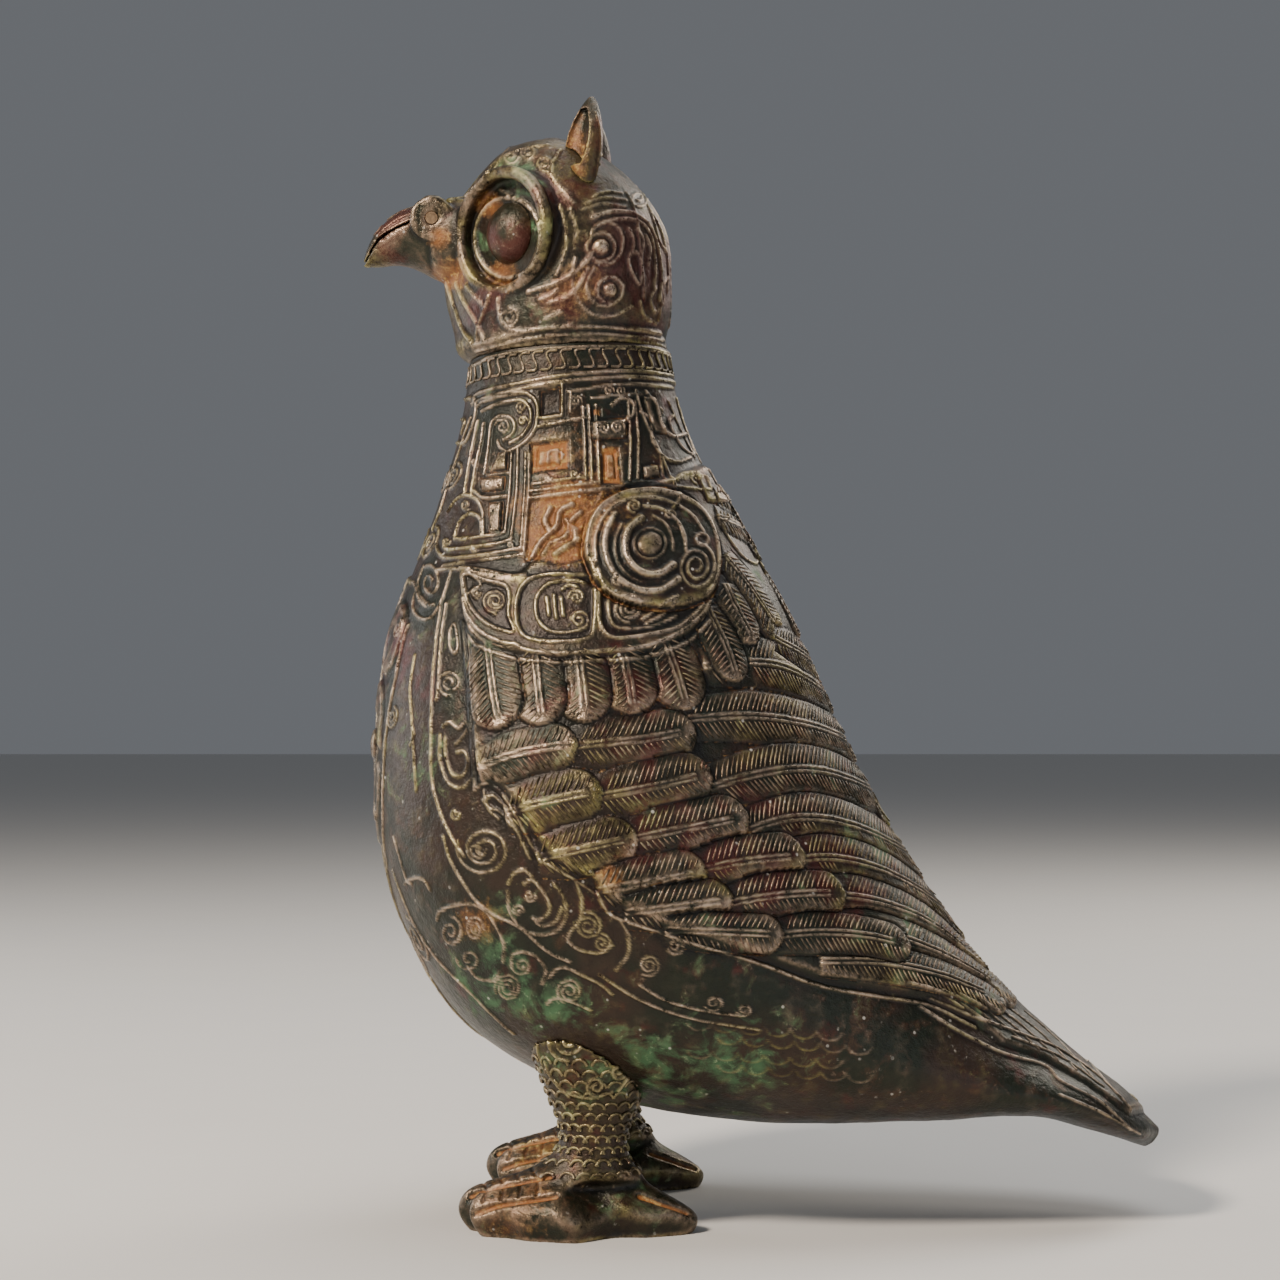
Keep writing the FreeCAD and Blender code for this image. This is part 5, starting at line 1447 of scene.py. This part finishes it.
head.ridges(headRelief["nape"], headRelief["hiddenCut"], fromBehind)
head.tints(headRelief["patina"])
cast("owl_head", head, "lid", "lid_head")
print("head", len(head.points))

# Ears: cream earth in the cup, dark red-brown back
earRelief = {
    "voxel": 0.22,
    "wave": 0.05,
    "curl": [(604, 150), (607, 160), (603, 168), (598, 160), (603, 153)],
    "curlCut": (0.9, 0.35, 0.5),
    "edge": [(596, 112), (600, 130), (600, 150), (596, 175)],
    "edgeCut": (0.9, 0.3, 0.4),
    "patina": [("earth", (572, 150), 24, 0.62, 2.6), ("red", (603, 150), 20, 1.0, 3.0)],
}
ear = Relief(*recast("left_ear", earRelief["voxel"]))
ear.ridge(smooth(earRelief["curl"]), earRelief["curlCut"])
ear.ridge(smooth(earRelief["edge"]), earRelief["edgeCut"])
ear.tints(earRelief["patina"])
castPair("ear", "_tuft", ear, "lid", earRelief["wave"])

# Eyes: smooth domes, dark with cuprite
eyeRelief = {"voxel": 0.2, "wave": 0.04, "patina": [("red", (508, 245), 40, 1.0)]}
ball = Relief(*recast("left_eye", eyeRelief["voxel"]))
ball.tints(eyeRelief["patina"])
castPair("eye", "_ball", ball, "lid", eyeRelief["wave"])

# Upper beak: a worn ridge along its edge with a painted highlight, and a shallow groove over it
billRelief = {
    "voxel": 0.2,
    "wave": 0.05,
    "edge": [(369, 254), (380, 242), (394, 232), (412, 226), (436, 223)],
    "edgeCut": (1.2, 0.35, 1.0),
    "groove": [(376, 240), (390, 226), (410, 216), (436, 211)],
    "grooveCut": (1.6, 0.3, 0.0),
    "fold": [(374, 236), (388, 220), (408, 209), (436, 203)],
    "foldCut": (1.2, 0.3, 0.7),
    "patina": [("red", (385, 215), 40, 0.6)],
}
bill = Relief(*recast("upper_beak", billRelief["voxel"]), folded=True)
bill.ridge(smooth(billRelief["edge"]), billRelief["edgeCut"])
bill.groove(smooth(billRelief["groove"]), billRelief["grooveCut"])
bill.ridge(smooth(billRelief["fold"]), billRelief["foldCut"])
bill.tints(billRelief["patina"])
cast("upper_bill", bill, "beak", "upper_beak", wave=billRelief["wave"])
print("ears, eyes and beak")

# Legs: scrolls on the thigh, a fin behind, rows of scales down to the claws
legRelief = {
    "voxel": 0.42,
    "centre": -30.0,  # the left leg's own middle plane
    "spiralCut": (1.3, 0.6, 0.5),
    # how strong the painted highlight on the leg's lines is
    "lineHighlight": 0.5,
    "toeCut": (2.2, 0.9, 0.9),
    "creaseCut": (1.2, 0.4, 0.5),
    "spirals": [
        ((568, 1040), 21, 2.3, 90, 1, 1.0),
        ((622, 1047), 15, 1.9, 180, -1, 1.0),
        ((596, 1086), 10, 1.5, 90, 1, 1.0),
        ((618, 1072), 8, 1.3, 0, 1, 1.0),
        ((598, 1010), 13, 1.7, 120, 1, 1.0),
    ],
    "lines": [
        (1.6, 0.7, [(606, 1046), (614, 1033), (630, 1028), (655, 1034), (690, 1054)]),
        (1.6, 0.7, [(690, 1056), (668, 1066), (645, 1066), (628, 1078), (618, 1090)]),
        (1.2, 0.5, [(640, 1046), (658, 1048), (676, 1056)]),
        (1.3, 0.5, [(545, 1062), (552, 1078), (566, 1092), (590, 1098), (612, 1092)]),
        (1.3, 0.5, [(540, 1030), (538, 1050), (546, 1072)]),
    ],
    "toes": [
        [(470, 1196), (490, 1188), (520, 1182), (550, 1176)],
        [(476, 1214), (500, 1205), (530, 1200), (556, 1196)],
        [(470, 1186), (482, 1178), (500, 1172)],
        [(640, 1196), (664, 1204), (688, 1212)],
    ],
    "creases": [
        [(482, 1180), (486, 1190), (482, 1202)],
        [(498, 1174), (503, 1186), (500, 1200)],
        [(514, 1170), (520, 1184), (518, 1198)],
        [(530, 1166), (537, 1180), (536, 1196)],
    ],
    "patina": [
        ("green", (600, 1060), 80, 0.5), ("green", (650, 1040), 40, 0.7), ("earth", (520, 1200), 60, 0.5),
        ("green", (640, 1210), 60, 0.4), ("earth", (590, 1150), 60, 0.3),
    ],
}
leg = Relief(*recast("left_leg", legRelief["voxel"]), plane=legRelief["centre"], folded=True)
leg.spirals(legRelief["spirals"], legRelief["spiralCut"])
leg.cutLines(legRelief["lines"], legRelief["lineHighlight"])
for line in legRelief["toes"]:
    leg.groove(smooth(line), legRelief["toeCut"])
for line in legRelief["creases"]:
    leg.groove(smooth(line), legRelief["creaseCut"])
leg.tints(legRelief["patina"])
castPair("leg", "_scaled", leg, "vessel")
print("legs", len(leg.points))


# Small repeated forms: barbs of the feathers, curls of the rim band, scales of the legs
def oneForm(tree, kind, gauge):
    # the form that is repeated, about one unit wide, along X and with Z out of the skin
    if kind == "barb":
        ball = addNode(tree, "GeometryNodeMeshIcoSphere", None, {"Radius": 0.5, "Subdivisions": 1})
        return ball.outputs["Mesh"]
    if kind == "curl":
        path = addNode(tree, "GeometryNodeCurvePrimitiveBezierSegment", None, {
            "Resolution": 8, "Start": (-0.5, -0.5, 0), "Start Handle": (1.1, -0.7, 0.0),
            "End Handle": (-1.1, 0.7, 0.0), "End": (0.5, 0.5, 0),
        })
    else:
        path = addNode(tree, "GeometryNodeCurveArc", {"mode": "RADIUS"}, {
            "Resolution": 9, "Radius": 0.5, "Start Angle": math.pi * 1.08, "Sweep Angle": math.pi * 0.84,
        })
    profile = addNode(
        tree, "GeometryNodeCurvePrimitiveCircle", {"mode": "RADIUS"}, {"Resolution": 5}, {"Radius": gauge},
    )
    return addNode(tree, "GeometryNodeCurveToMesh", None, {"Fill Caps": True}, {
        "Curve": path.outputs["Curve"], "Profile Curve": profile.outputs["Curve"],
    }).outputs["Mesh"]


def repeated(name, spots, form, bodyName):
    # spots hold a place, the direction of the form, the way out of the skin, and its three sizes in
    # millimetres. One tree sets the form on every spot.
    spotMesh = bpy.data.meshes.new(name + "_spots")
    spotMesh.from_pydata([tuple(np.array(spot[0]) * metre) for spot in spots], [], [])
    turns, sizes = [], []
    for _, along, out, size in spots:
        x = Vector(along).normalized()
        z = Vector(out).normalized()
        y = z.cross(x).normalized()
        z = x.cross(y)
        turns += list(Matrix((x, y, z)).transposed().to_euler())
        sizes += list(size)
    for label, values in (("turn", turns), ("size", sizes)):
        layer = spotMesh.attributes.new(label, "FLOAT_VECTOR", "POINT")
        layer.data.foreach_set("vector", np.array(values, np.float32))
    holder = linked(name + "_spots", spotMesh)
    tree = bpy.data.node_groups.new(name, "GeometryNodeTree")
    tree.interface.new_socket("Geometry", in_out="INPUT", socket_type="NodeSocketGeometry")
    unit = tree.interface.new_socket("Millimetre", in_out="INPUT", socket_type="NodeSocketFloat")
    gauge = tree.interface.new_socket("Line radius", in_out="INPUT", socket_type="NodeSocketFloat")
    tree.interface.new_socket("Geometry", in_out="OUTPUT", socket_type="NodeSocketGeometry")
    entry = addNode(tree, "NodeGroupInput")
    single = oneForm(tree, form["kind"], entry.outputs["Line radius"])
    turn = addNode(tree, "GeometryNodeInputNamedAttribute", {"data_type": "FLOAT_VECTOR"}, {"Name": "turn"})
    size = addNode(tree, "GeometryNodeInputNamedAttribute", {"data_type": "FLOAT_VECTOR"}, {"Name": "size"})
    rotation = addNode(tree, "FunctionNodeEulerToRotation", None, None, {"Euler": turn.outputs["Attribute"]})
    scale = addNode(tree, "ShaderNodeVectorMath", {"operation": "SCALE"}, None, {
        "Vector": size.outputs["Attribute"], "Scale": entry.outputs["Millimetre"],
    })
    spread = addNode(tree, "GeometryNodeInstanceOnPoints", None, None, {
        "Points": entry.outputs["Geometry"], "Instance": single,
        "Rotation": rotation.outputs["Rotation"], "Scale": scale.outputs["Vector"],
    })
    real = addNode(tree, "GeometryNodeRealizeInstances", None, None, {"Geometry": spread.outputs["Instances"]})
    painted = addNode(
        tree, "GeometryNodeSetMaterial", None, {"Material": bronze}, {"Geometry": real.outputs["Geometry"]},
    )
    addNode(tree, "NodeGroupOutput", None, None, {"Geometry": painted.outputs["Geometry"]})
    modifier = holder.modifiers.new("spread", "NODES")
    modifier.node_group = tree
    modifier[unit.identifier] = metre
    modifier[gauge.identifier] = form.get("gauge", 0.1)
    mesh = bpy.data.meshes.new_from_object(holder.evaluated_get(bpy.context.evaluated_depsgraph_get()))
    mesh.name = name
    bpy.data.objects.remove(holder)
    for label in ("turn", "size"):
        if label in mesh.attributes:
            mesh.attributes.remove(mesh.attributes[label])
    # every copy takes the form's one paint, which lightens it as worn metal with a painted highlight
    for label in ("finishAndPaintedLight", "patina"):
        paintPoints(mesh, label, np.tile(np.array(form[label]), (len(mesh.vertices), 1)))
    mesh.polygons.foreach_set("use_smooth", np.ones(len(mesh.polygons), bool))
    piece = linked(name, mesh)
    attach(piece, bodyName)
    return piece


bodyLift = body.heights()


def onBody(place, extra=0.0):
    # the nearest point of the finished body skin, with the way out of the skin there
    spot, _, face, _ = body.tree.find_nearest(Vector(place))
    corners = body.faces[face]
    nearest = corners[((body.points[corners] - np.array(spot)) ** 2).sum(1).argmin()]
    out = body.normals[nearest]
    return np.array(spot) + out * (bodyLift[nearest] + extra), out, nearest


barb = {
    "kind": "barb",
    "pitch": 1.35,  # millimetres along the quill
    "slant": 57,  # degrees from the quill's own way
    "ends": 0.6,  # bare length at the root and the tip
    "besideQuill": 1.0,
    "insideEdge": 1.5,
    "shares": (1.0, 0.8, 0.6, 0.4),  # tried in turn, until the barb stays on its own feather
    "shortest": 0.8,
    "overrun": 1.06,
    "thickness": (0.6, 0.42),
    # barbs are painted lighter: half worn with a painted highlight, some earth and patina, and a little more
    # painted highlight
    "finishAndPaintedLight": (0.5, 0.0, 0.25),
    "patina": (0.25, 0.35, 0.2),
}
barbs = []
slant = math.radians(barb["slant"])
for number, (path, tangent, run, halfWidth) in enumerate(feathers):
    length = run[-1]
    for at in np.arange(barb["ends"], length - barb["ends"], barb["pitch"]):
        k = int(np.searchsorted(run, at))
        limit = featherLimit(at, length, halfWidth)
        out = onBody(path[k])[1]
        aside = np.cross(out, tangent[k])
        for way in (-1, 1):
            for share in barb["shares"]:
                reach = (limit - barb["insideEdge"]) * share
                start = path[k] + aside * way * barb["besideQuill"]
                end = start + aside * way * reach + tangent[k] * reach / math.tan(slant)
                (a, _, first), (b, _, last) = onBody(start), onBody(end)
                if reach > barb["shortest"] and featherOwner[first] == number and featherOwner[last] == number:
                    middle, outwards, _ = onBody((start + end) / 2, 0.02)
                    size = (np.linalg.norm(b - a) * barb["overrun"], *barb["thickness"])
                    barbs.append((middle, b - a, outwards, size))
                    break
mirrorY = (1, -1, 1)
barbs += [(p * mirrorY, d * mirrorY, o * mirrorY, size) for p, d, o, size in barbs]
repeated("feather_barbs", barbs, barb, "vessel")
print("barbs", len(barbs))

# Rim band: a running row of curls all round, between the lip line and the double line
rimCurl = {
    "kind": "curl",
    "count": 46,
    "drop": 3.6,
    "flare": 1.04,  # how far the place searched from stands outside the rim
    "lift": 0.08,
    "size": (4.2, 4.4, 3.6),
    "gauge": 0.085,
    # curls are painted lighter: worn with a painted highlight, some earth and patina, and more painted highlight
    "finishAndPaintedLight": (0.6, 0, 0.2),
    "patina": (0.2, 0.1, 0.3),
}
curls = []
for k in range(rimCurl["count"]):
    turn = 2 * math.pi * (k + 0.5) / rimCurl["count"]
    place = mouthCentre + mouthAlong * reachRim * rimCurl["flare"] * math.cos(turn) - mouthUp * rimCurl["drop"]
    place[1] += halfRim * rimCurl["flare"] * math.sin(turn)
    flip = (1, -1 if place[1] > 0 else 1, 1)
    spot, out, _ = onBody(place * flip, rimCurl["lift"])
    spot, out = spot * flip, out * flip
    curls.append((spot, np.cross(out, mouthUp), out, rimCurl["size"]))
repeated("rim_curls", curls, rimCurl, "vessel")

# Scales: small arcs, open upwards, in staggered rows down the shank
legScale = {
    "kind": "scale",
    "around": 18,
    "row": 2.6,
    "from": 13.0,
    "to": 40.0,
    "axis": (-37.4, -30),  # the shank's own middle line
    "outside": 40,  # where each search starts, from the middle line
    "steepest": 0.85,
    "lift": 0.05,
    "size": (3.6, 4.0, 3.2),
    "gauge": 0.11,
    # scales are painted lighter: worn with a painted highlight, some earth and patina, and more painted highlight
    "finishAndPaintedLight": (0.6, 0, 0.2),
    "patina": (0.35, 0.1, 0.3),
}
scales = []
for number, level in enumerate(np.arange(legScale["from"], legScale["to"], legScale["row"])):
    for k in range(legScale["around"]):
        turn = 2 * math.pi * (k + 0.5 * (number % 2)) / legScale["around"]
        (x, y), reach = legScale["axis"], legScale["outside"]
        start = Vector((x + reach * math.cos(turn), y + reach * math.sin(turn), level))
        spot, out, _, _ = leg.tree.ray_cast(start, Vector((-math.cos(turn), -math.sin(turn), 0)))
        if spot is None or abs(out[2]) > legScale["steepest"]:
            continue
        out = np.array(out)
        around = np.cross(out, (0, 0, -1.0))
        scales.append((np.array(spot) + out * legScale["lift"], -around, out, legScale["size"]))
scales += [(p * mirrorY, d * (-1, 1, -1), o * mirrorY, size) for p, d, o, size in scales]
repeated("leg_scales", scales, legScale, "vessel")
print("curls", len(curls), "scales", len(scales))


# The nodes that keep their own mesh: collar and pin, the core spacers, and the clay cores
def plainMetal(name, tones, roughness):
    # Cast bronze that was cleaned or rubbed bare: brown, even, with faint darker stains
    made, tree, values = newMaterial(name)
    workOut(tree, values, [
        ("stains", "cloud", 5, 4, 0.6, 0.3, "place"),
        ("grain", "cloud", 0.6, 3, 0.6, 0.0, "place"),
        ("share", "range", "stains", 0.4, 0.65),
        ("colour", "mix", "share", linear(tones[0]), linear(tones[1])),
        ("grainRough", "product", "grain", 0.2),
        ("rough", "sum", roughness, "grainRough"),
        ("normal", "bump", "grain", 0.4, 0.0002),
    ])
    finishMaterial(tree, {"Metallic": 0.85}, {
        "Base Color": values["colour"], "Roughness": values["rough"], "Normal": values["normal"],
    })
    return made


def firedClay(name, tones, roughness):
    # Fired core clay: sandy, brick coloured, matt, pressed by hand and baked by the metal
    made, tree, values = newMaterial(name)
    workOut(tree, values, [
        ("sand", "cloud", 0.8, 4, 0.7, 0.0, "place"),
        ("share", "range", "sand", 0.35, 0.65),
        ("colour", "mix", "share", linear(tones[0]), linear(tones[1])),
        ("normal", "bump", "sand", 0.7, 0.0004),
    ])
    finishMaterial(tree, {"Roughness": roughness}, {"Base Color": values["colour"], "Normal": values["normal"]})
    return made


plainPaint = {
    "lid_collar": plainMetal("plain_cast_bronze", ("4f4032", "2e2822"), 0.4),
    "beak_pin": plainMetal("rubbed_bronze_pin", ("8a745c", "5a4a3a"), 0.35),
    "core_spacers": plainMetal("spacer_bronze", ("3a332b", "241f1a"), 0.5),
    "left_leg_core": firedClay("fired_core_clay", ("6d3f2a", "9c6a48"), 0.9),
}
plainPaint["right_leg_core"] = plainPaint["left_leg_core"]
for name, paint in plainPaint.items():
    mesh = cadNodes[name].data
    mesh.materials.clear()
    mesh.materials.append(paint)
print("plain nodes")

# Studio: a warm key from the upper left in front, weaker lamps round it, and a soft one overhead
studio = {
    "floor": 40.0,  # metres, so that its edge is far off
    "floorTones": ("d8d6d2", "b9b6b0"),
    "floorCloud": 40,
    "world": ("c9ced6", 0.24),
    "aim": (0, 0, 0.12),
    "lamps": [  # name, kind, place in metres, width, power and colour
        ("key", "POINT", (-0.75, -0.75, 0.95), 0.26, 105.0, "fff0df"),
        ("fill", "POINT", (0.8, -0.9, 0.4), 0.7, 9.0, "e8eeff"),
        ("breast", "POINT", (-1.0, 0.35, 0.3), 0.5, 12.0, "ffffff"),
        ("back", "POINT", (0.7, 0.9, 0.8), 0.6, 26.0, "fff6ea"),
        ("top", "AREA", (0.15, 0.25, 1.1), 0.8, 5.0, "ffffff"),
    ],
}
floorMesh = bpy.data.meshes.new("floor")
half = studio["floor"] / 2
corners = [(-half, -half, 0), (half, -half, 0), (half, half, 0), (-half, half, 0)]
floorMesh.from_pydata(corners, [], [(0, 1, 2, 3)])
floor = linked("floor", floorMesh)
floorPaint, tree, values = newMaterial("matt_floor_paint")
light, dark = (linear(code) for code in studio["floorTones"])
workOut(tree, values, [
    ("tone", "cloud", studio["floorCloud"], 3, 0.6, 0.0, "place"),
    ("share", "product", "tone", 0.12),
    ("colour", "mix", "share", light, dark),
])
finishMaterial(tree, {"Roughness": 0.75}, {"Base Color": values["colour"]})
floorMesh.materials.append(floorPaint)

world = bpy.data.worlds.new("studio_air")
bpy.context.scene.world = world
world.use_nodes = True
background = world.node_tree.nodes["Background"]
background.inputs[0].default_value = linear(studio["world"][0])
background.inputs[1].default_value = studio["world"][1]
aim = Vector(studio["aim"])
for name, kind, place, width, power, colour in studio["lamps"]:
    lamp = bpy.data.lights.new(name, kind)
    if kind == "AREA":
        lamp.size = width
    else:
        lamp.shadow_soft_size = width / 2
    lamp.energy = power
    lamp.color = linear(colour)[:3]
    holder = linked(name, lamp)
    holder.location = place
    holder.rotation_euler = (aim - Vector(place)).to_track_quat("-Z", "Y").to_euler()

lens = bpy.data.cameras.new("camera")
lens.sensor_width = camera["sensor"]
lens.lens = camera["focal"] / camera["frame"] * camera["sensor"]
lens.clip_start, lens.clip_end = 0.02, 20
stand = linked("camera", lens)
stand.location = Vector(camera["eye"]) * metre
towards = Vector(camera["target"]) - Vector(camera["eye"])
stand.rotation_euler = towards.to_track_quat("-Z", "Y").to_euler()
bpy.context.scene.camera = stand
print("studio")
